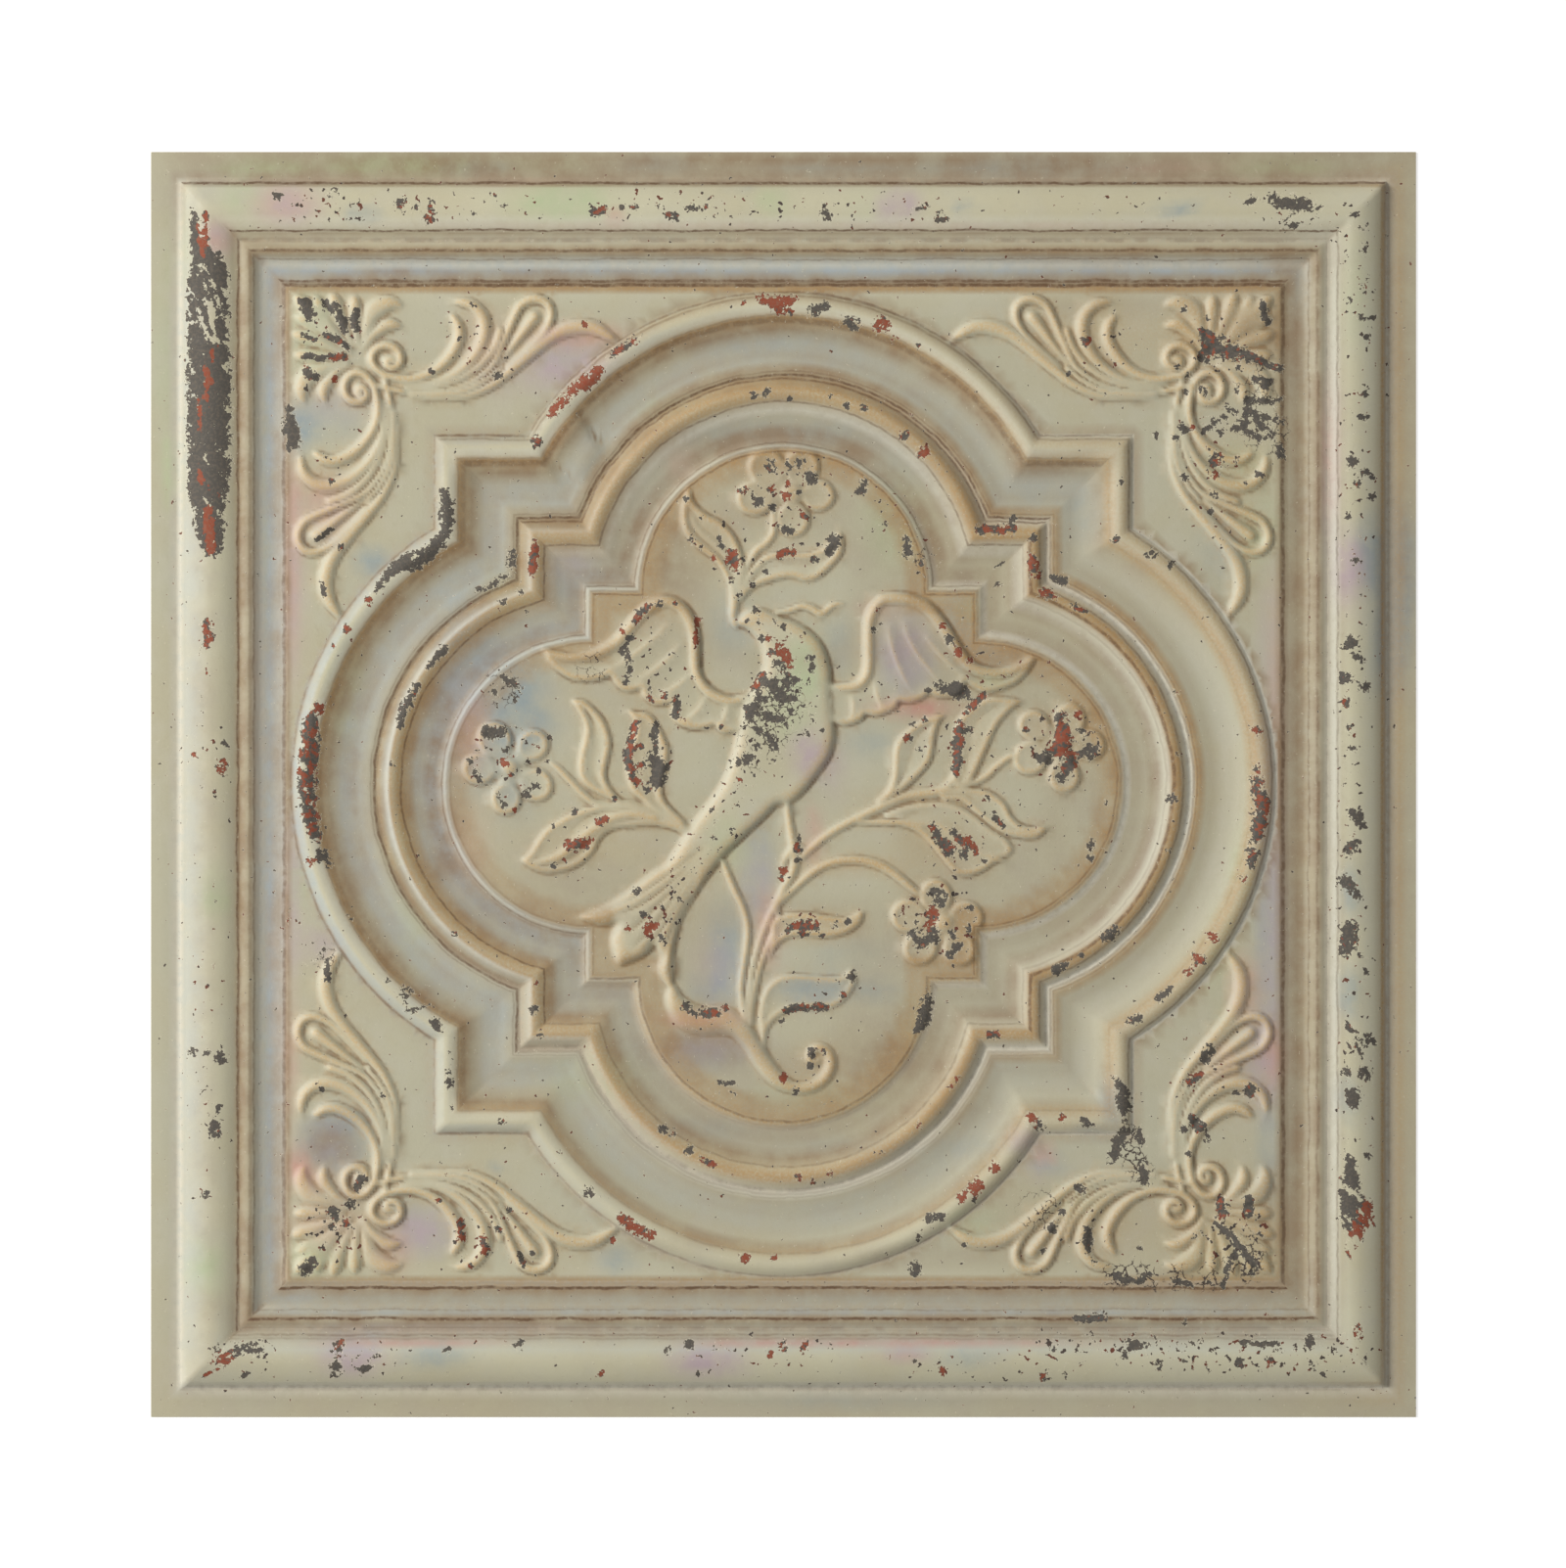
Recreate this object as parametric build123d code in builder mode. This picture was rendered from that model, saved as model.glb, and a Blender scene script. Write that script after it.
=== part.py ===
"""Embossed lay-in ceiling tile, 595 mm square: one vacuum-formed plastic sheet.

The sheet lies on its flange with the painted face up, +Z is out of the face and +Y is up as
the pattern reads. The origin is at the middle of the flange's underside. Lengths are in mm.
"""

import math
import os

from build123d import *

# Sheet and outline
HALF = 297.5  # half the side of the tile
SHEET = 1.0  # thickness of the formed sheet
FLANGE = 14.0  # flat edge that rests on the grid
FIELD_Z = 6.6  # face of the sunk square field

# Square frame moulding, as distances in from the edge of the tile
RISER = (16.4, 5.6)  # top of the steep outer side
CROWN_RISE = 4.0  # how far the wide band bulges over its chord
BAND_END = (39.8, 7.9)
GROOVE = (42.2, 6.9)
ROUND_END = (50.6, 6.0)
ROUND_RISE = 2.0
COVE_LOW = (54.6, 4.5)
COVE_END = (62.4, 5.2)
FIELD_START = 64.4

# Barbed quatrefoil: a square joined with four discs, stated at the outer edge of its bead
BARB = 163.6  # half the side of the square
LOBE_R = 140.6  # radius of a disc
LOBE_C = 90.3  # distance of a disc's centre from the middle
BEAD_END = (10.2, 8.3)
BEAD_RISE = 2.9
COVE_FOOT = (26.0, 4.2)
COVE_SAG = 1.0
LIP = (35.6, 5.3)
INNER_START = (40.4, 4.7)
INNER_END = (51.0, 6.9)
INNER_RISE = 2.9
DISH_FOOT = (64.5, 4.4)
DISH_SAG = 0.6
PLATE_FOOT = (69.2, 4.4)
PLATE_EDGE = (71.6, 6.1)
PLATE_Z = PLATE_EDGE[1]

# Raised ornament
SINK = 0.5  # how far each raised form reaches down into the sheet
LEAF_RISE = 1.7
WING_RISE = 2.2
BODY_RISE = 3.4
PETAL_RISE = 2.0
BUTTON_RISE = 3.0

# Outlines of the bird, as runs of smooth curve between sharp corners
BIRD_BODY = [
    [(-22.6, 75.0), (-10.1, 82.6), (12.1, 72.3), (22.8, 44.0), (15.6, 3.2), (-9.4, -16.4), (-52.0, -98.0)],
    [(-52.0, -98.0), (-60.4, -75.6)],
    [(-60.4, -75.6), (-77.6, -85.2)],
    [(-77.6, -85.2), (-78.6, -65.6)],
    [(-78.6, -65.6), (-96.4, -62.2)],
    [(-96.4, -62.2), (-69.3, -47.6), (-26.2, 8.2), (-20.6, 33.0), (-9.4, 58.0), (-22.6, 75.0)],
]
LEFT_WING = [
    [(-113.0, 64.8), (-88.5, 63.6), (-53.6, 88.4), (-40.3, 75.5), (-38.9, 54.3), (-15.0, 42.0)],
    [(-15.0, 42.0), (-14.0, 30.0)],
    [(-14.0, 30.0), (-25.6, 24.0), (-32.2, 27.9)],
    [(-32.2, 27.9), (-46.8, 27.1), (-53.2, 38.2)],
    [(-53.2, 38.2), (-63.4, 38.8), (-66.9, 45.0)],
    [(-66.9, 45.0), (-75.8, 44.4), (-81.2, 50.9)],
    [(-81.2, 50.9), (-99.9, 49.6), (-113.0, 64.8)],
]
RIGHT_WING = [
    [(16.0, 46.0), (36.2, 50.4), (37.6, 74.0), (55.1, 90.2), (90.7, 57.0), (119.4, 61.4)],
    [(119.4, 61.4), (100.9, 43.8), (85.6, 48.2)],
    [(85.6, 48.2), (77.0, 40.6), (68.8, 43.0)],
    [(68.8, 43.0), (60.3, 38.4), (54.4, 39.0)],
    [(54.4, 39.0), (44.8, 32.4), (38.6, 33.0)],
    [(38.6, 33.0), (29.2, 27.8), (16.0, 34.0)],
    [(16.0, 34.0), (16.0, 46.0)],
]
# Leaves as two arcs: one end, a point on the side, the other end, a point on the other side
LEAVES = [
    ((-44.4, 140.4), (-24.0, 118.2), (-22.6, 80.0), (-39.0, 110.0)),
    ((26.8, 119.4), (1.5, 109.2), (-20.4, 85.8), (8.0, 97.6)),
    ((-99.6, 39.6), (-81.0, 16.0), (-73.4, -9.6), (-96.0, 10.0)),
    ((-73.6, 35.4), (-55.0, 12.0), (-46.0, -19.0), (-73.2, 2.2)),
    ((-123.4, -35.6), (-103.9, -15.8), (-50.0, -18.4), (-88.0, -33.0)),
    ((76.8, 33.4), (55.7, 23.3), (43.6, -9.0), (67.2, 8.1)),
    ((113.4, 39.3), (89.6, 37.4), (80.4, -1.0), (99.2, 25.0)),
    ((74.0, -5.0), (97.0, -3.6), (124.0, -19.4), (100.0, -21.0)),
    ((47.0, -17.6), (78.0, -20.6), (106.2, -36.4), (82.7, -42.4)),
    ((-7.8, -83.3), (0.7, -60.9), (37.9, -58.6), (9.8, -71.0)),
    ((-9.6, -98.2), (12.0, -89.6), (32.0, -86.2), (6.0, -114.0)),
]
# Each corner: the fan's middle leaf on the diagonal, and the longest leaf of a spray beside it
FAN_LEAF = ((202.0, 202.0), (222.0, 214.5), (228.6, 228.6), (214.5, 222.0))
SPRAY_LEAF = ((176.0, 181.4), (126.0, 204.0), (77.2, 207.4), (124.0, 190.0))

# Flowers: the button's centre and radius, then the petals' centres
PETAL_R = 7.8  # how far a petal reaches out from its centre
VALLEY = 1.25  # valley between two petals, as a share of the way out to the point between their centres
FLOWERS = [
    ((3.9, 136.6), 6.0, [(-7.6, 148.4), (8.6, 149.2), (16.4, 135.8), (4.6, 124.4), (-13.2, 134.6)]),
    ((-128.4, 7.8), 4.9, [(-135.6, 21.0), (-117.6, 18.4), (-116.2, -0.2), (-130.2, -6.6), (-142.8, 7.4)]),
    ((131.3, 20.0), 5.4, [(117.8, 27.6), (134.6, 30.4), (143.6, 18.4), (131.9, 4.0), (116.2, 12.6)]),
    ((75.6, -65.0), 5.2, [(71.7, -52.4), (85.6, -62.9), (82.8, -77.0), (64.4, -76.6), (59.0, -61.8)]),
]


def bulge(start, end, rise, steps):
    """Points of a round stretch between two ends: a half sine over the chord."""
    points = []
    for i in range(steps + 1):
        t = i / steps
        x = start[0] + (end[0] - start[0]) * t
        z = start[1] + (end[1] - start[1]) * t
        points.append((x, z + rise * math.sin(math.pi * t)))
    return points


def under(points):
    """The same profile one sheet thickness below, measured square to the face."""
    lower = []
    for i in range(1, len(points) - 1):
        (x0, z0), (x1, z1), (x2, z2) = points[i - 1 : i + 2]
        first = math.hypot(x1 - x0, z1 - z0)
        second = math.hypot(x2 - x1, z2 - z1)
        na = ((z1 - z0) / first, -(x1 - x0) / first)
        nb = ((z2 - z1) / second, -(x2 - x1) / second)
        share = SHEET / (1 + na[0] * nb[0] + na[1] * nb[1])
        lower.append((x1 + (na[0] + nb[0]) * share, z1 + (na[1] + nb[1]) * share))
    return lower


# Profiles as (distance in, height)
frame_face = [(FLANGE, SHEET)]
frame_face += bulge(RISER, BAND_END, CROWN_RISE, 8)
frame_face += bulge(GROOVE, ROUND_END, ROUND_RISE, 4)
frame_face += [COVE_LOW, COVE_END, (FIELD_START, FIELD_Z)]
frame_back = under([(0, SHEET)] + frame_face + [(FIELD_START + 9, FIELD_Z)])

lobe_face = bulge((0, FIELD_Z), BEAD_END, BEAD_RISE, 3)
lobe_face += bulge(BEAD_END, COVE_FOOT, -COVE_SAG, 2)[1:]
lobe_face += [LIP]
lobe_face += bulge(INNER_START, INNER_END, INNER_RISE, 3)
lobe_face += bulge(INNER_END, DISH_FOOT, -DISH_SAG, 2)[1:]
lobe_face += [PLATE_FOOT, PLATE_EDGE]
lobe_back = under([(-9, FIELD_Z)] + lobe_face + [(PLATE_EDGE[0] + 9, PLATE_Z)])


def square_at(distance, height):
    """Outline of the frame moulding at a distance in from the tile's edge."""
    with BuildSketch(Plane.XY.offset(height)) as outline:
        Rectangle(2 * (HALF - distance), 2 * (HALF - distance))
    return outline.sketch


def quatrefoil_at(depth, height):
    """Outline of the quatrefoil at a depth in from the outer edge of its bead."""
    s = BARB - depth
    r = LOBE_R - depth
    y = math.sqrt(r * r - (s - LOBE_C) ** 2)
    with BuildSketch(Plane.XY.offset(height)) as outline:
        with BuildLine():
            for turn in (0, 90, 180, 270):
                quarter = [(s, -s), (s, -y), (LOBE_C + r, 0), (s, y), (s, s)]
                a, b, top, c, d = [Vector(*p).rotate(Axis.Z, turn) for p in quarter]
                Line(a, b)
                ThreePointArc(b, top, c)
                Line(c, d)
        make_face()
    return outline.sketch


def outline_at(runs, height):
    """Face inside smooth curves that meet in sharp corners."""
    with BuildSketch(Plane.XY.offset(height)) as outline:
        with BuildLine():
            for run in runs:
                if len(run) == 2:
                    Line(*run)
                elif len(run) == 3:
                    ThreePointArc(*run)
                else:
                    Spline(*run)
        make_face()
    return outline.sketch


def leaf_at(ends_and_sides, height):
    """Leaf outline: two arcs that meet in points."""
    tail, side, tip, other_side = ends_and_sides
    with BuildSketch(Plane.XY.offset(height)) as outline:
        with BuildLine():
            ThreePointArc(tail, side, tip)
            ThreePointArc(tip, other_side, tail)
        make_face()
    return outline.sketch


def petals_at(middle, petals, height):
    """Flower outline: a round arc for each petal, from valley to valley."""
    heart = Vector(*middle)
    arms = [Vector(*petal) - heart for petal in petals]
    with BuildSketch(Plane.XY.offset(height)) as outline:
        with BuildLine():
            for i, arm in enumerate(arms):
                valley = heart + (arms[i - 1] + arm) * VALLEY / 2
                next_valley = heart + (arm + arms[(i + 1) % len(arms)]) * VALLEY / 2
                tip = heart + arm + arm.normalized() * PETAL_R
                ThreePointArc(valley, tip, next_valley)
        make_face()
    return outline.sketch


# The face of the sheet, filled down to the ceiling side
with BuildPart() as face_form:
    for distance, height in [(0, 0), (0, SHEET)] + frame_face:
        add(square_at(distance, height))
    loft(ruled=True)
    add(quatrefoil_at(0, 0))
    extrude(amount=FIELD_Z, mode=Mode.SUBTRACT)

with BuildPart() as lobe_form:
    for depth, height in [(0, 0)] + lobe_face:
        add(quatrefoil_at(depth, height))
    loft(ruled=True)

# The hollow behind the sheet
with BuildPart() as back_form:
    for distance, height in [(frame_back[0][0], -SHEET)] + frame_back:
        add(square_at(distance, height))
    loft(ruled=True)
    add(quatrefoil_at(lobe_back[0][0], -SHEET))
    extrude(amount=FIELD_Z + SHEET, mode=Mode.SUBTRACT)

with BuildPart() as lobe_hollow:
    for depth, height in [(lobe_back[0][0], -SHEET)] + lobe_back:
        add(quatrefoil_at(depth, height))
    loft(ruled=True)

# The raised ornament, from the lowest forms to the highest
with BuildPart() as leaf_forms:
    for leaf in LEAVES:
        add(leaf_at(leaf, PLATE_Z - SINK))
    extrude(amount=SINK + LEAF_RISE)
    for across in (False, True):
        spray_leaf = [(y, x) if across else (x, y) for x, y in SPRAY_LEAF]
        for flip_x in (-1, 1):
            for flip_y in (-1, 1):
                add(leaf_at([(x * flip_x, y * flip_y) for x, y in spray_leaf], FIELD_Z - SINK))
    for turn in (0, 90, 180, 270):
        add(leaf_at([Vector(*p).rotate(Axis.Z, turn) for p in FAN_LEAF], FIELD_Z - SINK))
    extrude(amount=SINK + LEAF_RISE)

with BuildPart() as flower_forms:
    for middle, radius, petals in FLOWERS:
        add(petals_at(middle, petals, PLATE_Z - SINK))
        extrude(amount=SINK + PETAL_RISE)
        with BuildSketch(Plane.XY.offset(PLATE_Z - SINK)):
            with Locations(middle):
                Circle(radius)
        extrude(amount=SINK + BUTTON_RISE)

with BuildPart() as bird_form:
    for wing in (LEFT_WING, RIGHT_WING):
        add(outline_at(wing, PLATE_Z - SINK))
        extrude(amount=SINK + WING_RISE)
    add(outline_at(BIRD_BODY, PLATE_Z - SINK))
    extrude(amount=SINK + BODY_RISE)

with BuildPart() as tile:
    add(face_form.part)
    add(lobe_form.part)
    add(back_form.part, mode=Mode.SUBTRACT)
    add(lobe_hollow.part, mode=Mode.SUBTRACT)
    add(leaf_forms.part)
    add(flower_forms.part)
    add(bird_form.part)

tile.part.label = "ceiling_tile"

os.makedirs("parts", exist_ok=True)
export_step(tile.part, "parts/ceiling_tile.step")
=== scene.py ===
"""Embossed ceiling tile of formed and painted plastic, modelled as one thin pressed sheet."""

import math

import bpy
import numpy as np
from bpy.props import FloatProperty, FloatVectorProperty, PointerProperty
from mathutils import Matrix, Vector
from mathutils.geometry import delaunay_2d_cdt


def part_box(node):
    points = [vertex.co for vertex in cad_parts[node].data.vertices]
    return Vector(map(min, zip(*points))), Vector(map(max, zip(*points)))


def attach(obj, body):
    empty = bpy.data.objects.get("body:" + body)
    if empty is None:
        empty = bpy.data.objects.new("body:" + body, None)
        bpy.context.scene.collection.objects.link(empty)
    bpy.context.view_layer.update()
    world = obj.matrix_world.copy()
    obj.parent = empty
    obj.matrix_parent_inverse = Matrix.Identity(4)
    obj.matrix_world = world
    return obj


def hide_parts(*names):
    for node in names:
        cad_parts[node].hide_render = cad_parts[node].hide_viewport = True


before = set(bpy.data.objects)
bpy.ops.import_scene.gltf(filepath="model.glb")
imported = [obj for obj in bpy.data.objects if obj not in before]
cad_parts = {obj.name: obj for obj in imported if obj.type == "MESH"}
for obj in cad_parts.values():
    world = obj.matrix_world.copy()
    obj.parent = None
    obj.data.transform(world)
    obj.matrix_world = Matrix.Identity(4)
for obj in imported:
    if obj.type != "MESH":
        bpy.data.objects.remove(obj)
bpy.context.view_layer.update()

bl_info = {
    "name": "Embossed ceiling tile",
    "version": (1, 0, 0),
    "blender": (4, 5, 0),
    "location": "View3D > Sidebar > Ceiling Tile",
    "description": "Builds a pressed and painted lay-in ceiling tile",
    "category": "Add Mesh",
}

NODE = "ceiling_tile"
MM = 0.001  # the relief is laid out in millimetres, as the real sheet is

# Outline and mouldings, in millimetres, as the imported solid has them
HALF = 297.5
FLANGE = 14.0
FIELD_Z = 6.6
PLATE_Z = 6.1
BARB = 163.6  # half the side of the square that is joined with four discs
LOBE_R = 140.6
LOBE_C = 90.3
FRAME_END = 65.0  # where the frame's own rows of the mesh stop
LOBE_START = -0.6
LOBE_END = 74.0
GRID = 0.5  # spacing of the height map that the relief is drawn on
REACH = 240.0  # half the side of that map
FORMING_SOFTENS = 0.55  # how softly the sheet follows the mould's detail

# Spacings of the mesh on the field, the plate and the back: the finest where the relief bends most
FIELD_STEPS = (1.25, 2.5, 5.0)
PLATE_STEPS = (1.15, 2.3, 4.6)
BACK_STEPS = (2.8, 5.6, 11.2)

# Stage, in metres
PAPER_REACH = 6.0
PAPER_Z = -0.0002  # just under the tile, so that the two don't flicker
KEY_PLACE = (-3.0, 1.0, 2.85)
KEY_SIZE = 1.5
KEY_COLOUR = (1.0, 0.985, 0.96)
CAMERA_OFF = (-0.00023, 0.00023)  # how far the camera stands off the tile's middle
SENSOR_WIDTH = 36  # in millimetres

# Colours of the finish that no setting changes, from 0 to 255
SHADES = {
    "pale cloud": (190, 186, 168),
    "grime": (160, 150, 126),
    "rubbed crown": (208, 203, 184),
    "tan rim": (202, 172, 120),
    "umber": (134, 108, 78),
    # colour of the painted highlight
    "painted highlight": (224, 223, 208),
    "crease line": (92, 66, 44),
    "speck": (96, 84, 68),
    "fleck": (222, 215, 192),
    "lifted edge": (230, 222, 196),
    "worn undercoat": (128, 115, 98),
    "chip's shadow": (60, 46, 40),
    "dull plastic": (176, 172, 160),
    "scuff": (150, 145, 132),
}
# How high the ornament's parts stand above the moulded sheet, in millimetres
STANDS = {
    "spray": 2.2, "volute": 2.5, "fan": 2.1, "stem": 1.7, "leaf": 1.9, "pale leaf": 1.5, "folded leaf": 2.7,
    "petal's root": 1.5, "petal": 1.8, "button": 2.8, "wing": 2.0, "wing rim": 1.5, "body": 3.5,
    "leaf scroll": 2.8, "web": 2.6,
}


def bulge(start, end, rise, steps=24):
    """Points of a round stretch: a half sine over the chord from start to end."""
    t = np.linspace(0, 1, steps + 1)
    x = start[0] + (end[0] - start[0]) * t
    z = start[1] + (end[1] - start[1]) * t + rise * np.sin(np.pi * t)
    return list(zip(x, z))


class Profile:
    """A moulding's section, height over distance, with its creases softened as forming leaves them."""

    def __init__(self, points, soften=0.45):
        points = sorted(points)
        self.x = np.arange(points[0][0] - 3, points[-1][0] + 3, 0.1)
        z = np.interp(self.x, [p[0] for p in points], [p[1] for p in points])
        reach = int(soften * 30)
        kernel = np.exp(-0.5 * (np.arange(-reach, reach + 1) * 0.1 / soften) ** 2)
        padded = np.pad(z, reach, mode="edge")
        self.z = np.convolve(padded, kernel / kernel.sum(), mode="valid")

    def __call__(self, distance):
        return np.interp(distance, self.x, self.z)

    def rows(self, start, end, widest, per_turn):
        """Distances for the mesh's rows: closer together where the section turns."""
        x = np.linspace(start, end, 2400)
        slope = np.arctan(np.gradient(self(x), x))
        density = 1 / widest + per_turn * np.abs(np.gradient(slope, x))
        total = np.concatenate([[0], np.cumsum(0.5 * (density[1:] + density[:-1]) * np.diff(x))])
        count = int(math.ceil(total[-1]))
        return np.interp(np.linspace(0, total[-1], count + 1), total, x)


FRAME_PROFILE = Profile(
    [(0, 1.0), (FLANGE, 1.0)]
    + bulge((16.4, 5.6), (39.8, 7.9), 3.9)
    + bulge((42.2, 6.9), (50.6, 6.0), 2.0)
    + [(52.2, 4.9), (54.6, 4.5), (58.0, 4.7), (62.4, 5.2), (64.4, FIELD_Z), (90.0, FIELD_Z)],
    soften=0.35,
)
LOBE_PROFILE = Profile(
    [(-30, FIELD_Z), (0, FIELD_Z)]
    + bulge((0.2, 7.4), (10.2, 8.3), 2.2)[1:]
    + bulge((10.2, 8.3), (26.0, 4.2), -1.0)[1:]
    + bulge((26.0, 4.2), (35.6, 5.3), -0.3)[1:]
    + bulge((35.6, 5.3), (39.6, 4.6), 0.3)[1:]
    + bulge((40.4, 4.9), (51.0, 6.9), 2.9)
    + bulge((51.0, 6.9), (64.5, 4.4), -0.6)[1:]
    + [(69.2, 4.4), (71.6, PLATE_Z), (110, PLATE_Z)],
    soften=0.4,
)


def smooth_step(x, low, high):
    t = np.clip((x - low) / (high - low), 0, 1)
    return t * t * (3 - 2 * t)


def lobe_depth(x, y):
    """How far a point lies inside the quatrefoil's outer edge."""
    ax = np.abs(x)
    ay = np.abs(y)
    square = BARB - np.maximum(ax, ay)
    side = LOBE_R - np.hypot(ax - LOBE_C, ay)
    top = LOBE_R - np.hypot(ax, ay - LOBE_C)
    return np.maximum(square, np.maximum(side, top))


def moulding_height(x, y):
    """Face of the sheet without its ornament."""
    edge = HALF - np.maximum(np.abs(x), np.abs(y))
    depth = lobe_depth(x, y)
    # the bead's inner edge turns the barbs' corners in a small round
    gap = np.abs(np.abs(x) - np.abs(y))
    corner = np.clip((15 - gap) / 15, 0, 1) ** 2 * 3.75
    barb = smooth_step(np.minimum(np.abs(x), np.abs(y)), 118, 130)
    fade = smooth_step(depth, 6.5, 10) * (1 - smooth_step(depth, 13, 24))
    depth = depth - corner * barb * fade
    return np.where(depth > LOBE_START, LOBE_PROFILE(depth), FRAME_PROFILE(edge))


def points_of(row, size=3):
    """The points of a row, in which x, y and mostly a half width stand one after the other."""
    return [row[k : k + size] for k in range(0, len(row), size)]


def curve_points(points, closed=False, step=1.2):
    """A smooth curve through a few points; a point whose last value is None is a sharp corner."""
    corner = [p[-1] is None for p in points]
    values = np.array([p[:-1] if c else p for p, c in zip(points, corner)], dtype=float)
    count = len(values)
    out = []
    for i in range(count if closed else count - 1):
        after = (i + 1) % count
        b, c = values[i], values[after]
        a = values[i - 1] if (closed or i > 0) and not corner[i] else 2 * b - c
        d = values[(i + 2) % count] if (closed or i + 2 < count) and not corner[after] else 2 * c - b
        steps = max(2, int(np.hypot(*(c - b)[:2]) / step))
        t = (np.arange(steps) / steps)[:, None]
        out.append(
            0.5 * (2 * b + (c - a) * t + (2 * a - 5 * b + 4 * c - d) * t**2 + (3 * b - a - 3 * c + d) * t**3)
        )
    if not closed:
        out.append(values[-1:])
    return np.concatenate(out)


class Relief:
    """The ornament as a height map over the tile, in millimetres above the moulded sheet."""

    def __init__(self):
        self.axis = np.arange(-REACH, REACH + GRID / 2, GRID)
        self.z = np.zeros((len(self.axis), len(self.axis)))

    def window(self, points, margin):
        i0, j0 = np.searchsorted(self.axis, points[:, :2].min(axis=0) - margin)
        i1, j1 = np.searchsorted(self.axis, points[:, :2].max(axis=0) + margin)
        x, y = np.meshgrid(self.axis[i0:i1], self.axis[j0:j1])
        return (slice(j0, j1), slice(i0, i1)), x, y

    @staticmethod
    def nearest(line, x, y, closed=False):
        """Distance to a line of points, how far along it, its half width there, and the side."""
        ends = np.roll(line, -1, axis=0) if closed else line[1:]
        starts = line if closed else line[:-1]
        best = np.full(x.shape, np.inf)
        along, width, side, distance = (np.zeros(x.shape) for _ in range(4))
        for k, (a, b) in enumerate(zip(starts, ends)):
            dx, dy = b[0] - a[0], b[1] - a[1]
            length = max(dx * dx + dy * dy, 1e-9)
            t = np.clip(((x - a[0]) * dx + (y - a[1]) * dy) / length, 0, 1)
            px = x - a[0] - t * dx
            py = y - a[1] - t * dy
            d = np.hypot(px, py)
            w = a[2] + (b[2] - a[2]) * t if len(a) > 2 else np.ones(x.shape)
            near = d / w < best
            best = np.where(near, d / w, best)
            distance = np.where(near, d, distance)
            width = np.where(near, w, width)
            along = np.where(near, (k + t) / len(starts), along)
            side = np.where(near, np.sign(dx * py - dy * px), side)
        return distance, along, width, side

    def stroke(self, row, height, base=0.0, round_over=0.75, widen=1.0):
        """A ridge along a curve, lower where it is narrower."""
        line = curve_points([(x, y, widen * half) for x, y, half in points_of(row)])
        line[:, 2] = np.maximum(line[:, 2], 0.05)
        at, x, y = self.window(line, line[:, 2].max() + 1)
        distance, _, width, _ = self.nearest(line, x, y)
        q = np.clip(distance / width, 0, 1)
        scale = np.minimum(width / (0.75 * line[:, 2].max()), 1) ** 0.6
        ridge = (base + height * (1 - q**2) ** round_over) * scale * (q < 1)
        self.z[at] = np.maximum(self.z[at], ridge)

    def form(self, points, height, edge, dish=0.0, dish_run=3.0):
        """A raised shape with a rounded edge, and a face that may sink behind its rim."""
        line = curve_points(points, closed=True)
        at, x, y = self.window(line, 1)
        distance, _, _, _ = self.nearest(line, x, y, closed=True)
        inside = np.zeros(x.shape, dtype=bool)
        for a, b in zip(line, np.roll(line, -1, axis=0)):
            crosses = (a[1] > y) != (b[1] > y)
            with np.errstate(divide="ignore", invalid="ignore"):
                inside ^= crosses & (x < (b[0] - a[0]) * (y - a[1]) / (b[1] - a[1]) + a[0])
        t = np.clip(distance / edge, 0, 1)
        rim = edge * 0.8
        face = height * np.sqrt(1 - (1 - t) ** 2) - dish * smooth_step(distance, rim, rim + dish_run)
        self.z[at] = np.where(inside, np.maximum(self.z[at], face), self.z[at])

    def groove(self, row, depth, least=0.6, widen=1.0):
        """A line pressed into what is raised already, down to the least height at most."""
        line = curve_points([(x, y, widen * half) for x, y, half in points_of(row)])
        at, x, y = self.window(line, 4 * line[:, 2].max())
        distance, along, width, _ = self.nearest(line, x, y)
        cut = depth * np.exp(-((distance / width) ** 2)) * np.sin(np.pi * np.clip(along, 0.04, 0.96)) ** 0.4
        self.z[at] = np.where(self.z[at] > least, np.maximum(self.z[at] - cut, least), self.z[at])

    def lap(self, row, side, height, run):
        """The edge of one feather over the next: a step up that fades away on one side."""
        line = curve_points(points_of(row, 2))
        at, x, y = self.window(line, run * 2)
        distance, along, _, facing = self.nearest(line, x, y)
        ends = np.sin(np.pi * np.clip(along, 0.0, 1.0)) ** 0.5
        back = np.exp(-distance / run)
        front = np.exp(-((distance / 0.7) ** 2))
        shape = np.where(facing * side > 0, back, front) * height * ends
        self.z[at] = np.where(self.z[at] > 0.8, self.z[at] + shape, self.z[at])

    def disc(self, x, y, radius, height, edge, dish, squash=1.0, turn=0.0):
        """A round petal or button, cupped when it has a dish."""
        points = []
        cos, sin = math.cos(turn), math.sin(turn)
        for k in range(16):
            a = math.tau * k / 16
            u = radius * math.cos(a)
            v = radius * squash * math.sin(a)
            points.append((x + u * cos - v * sin, y + u * sin + v * cos))
        self.form(points, height, edge, dish, radius * 0.45)


def blur(values, sigma):
    reach = int(math.ceil(3 * sigma))
    kernel = np.exp(-0.5 * (np.arange(-reach, reach + 1) / sigma) ** 2)
    kernel /= kernel.sum()
    for axis in (0, 1):
        total = np.zeros_like(values)
        pad = [(reach, reach) if k == axis else (0, 0) for k in (0, 1)]
        padded = np.pad(values, pad, mode="edge")
        for k, weight in enumerate(kernel):
            cut = slice(k, k + values.shape[axis])
            total += weight * (padded[cut] if axis == 0 else padded[:, cut])
        values = total
    return values


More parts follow.
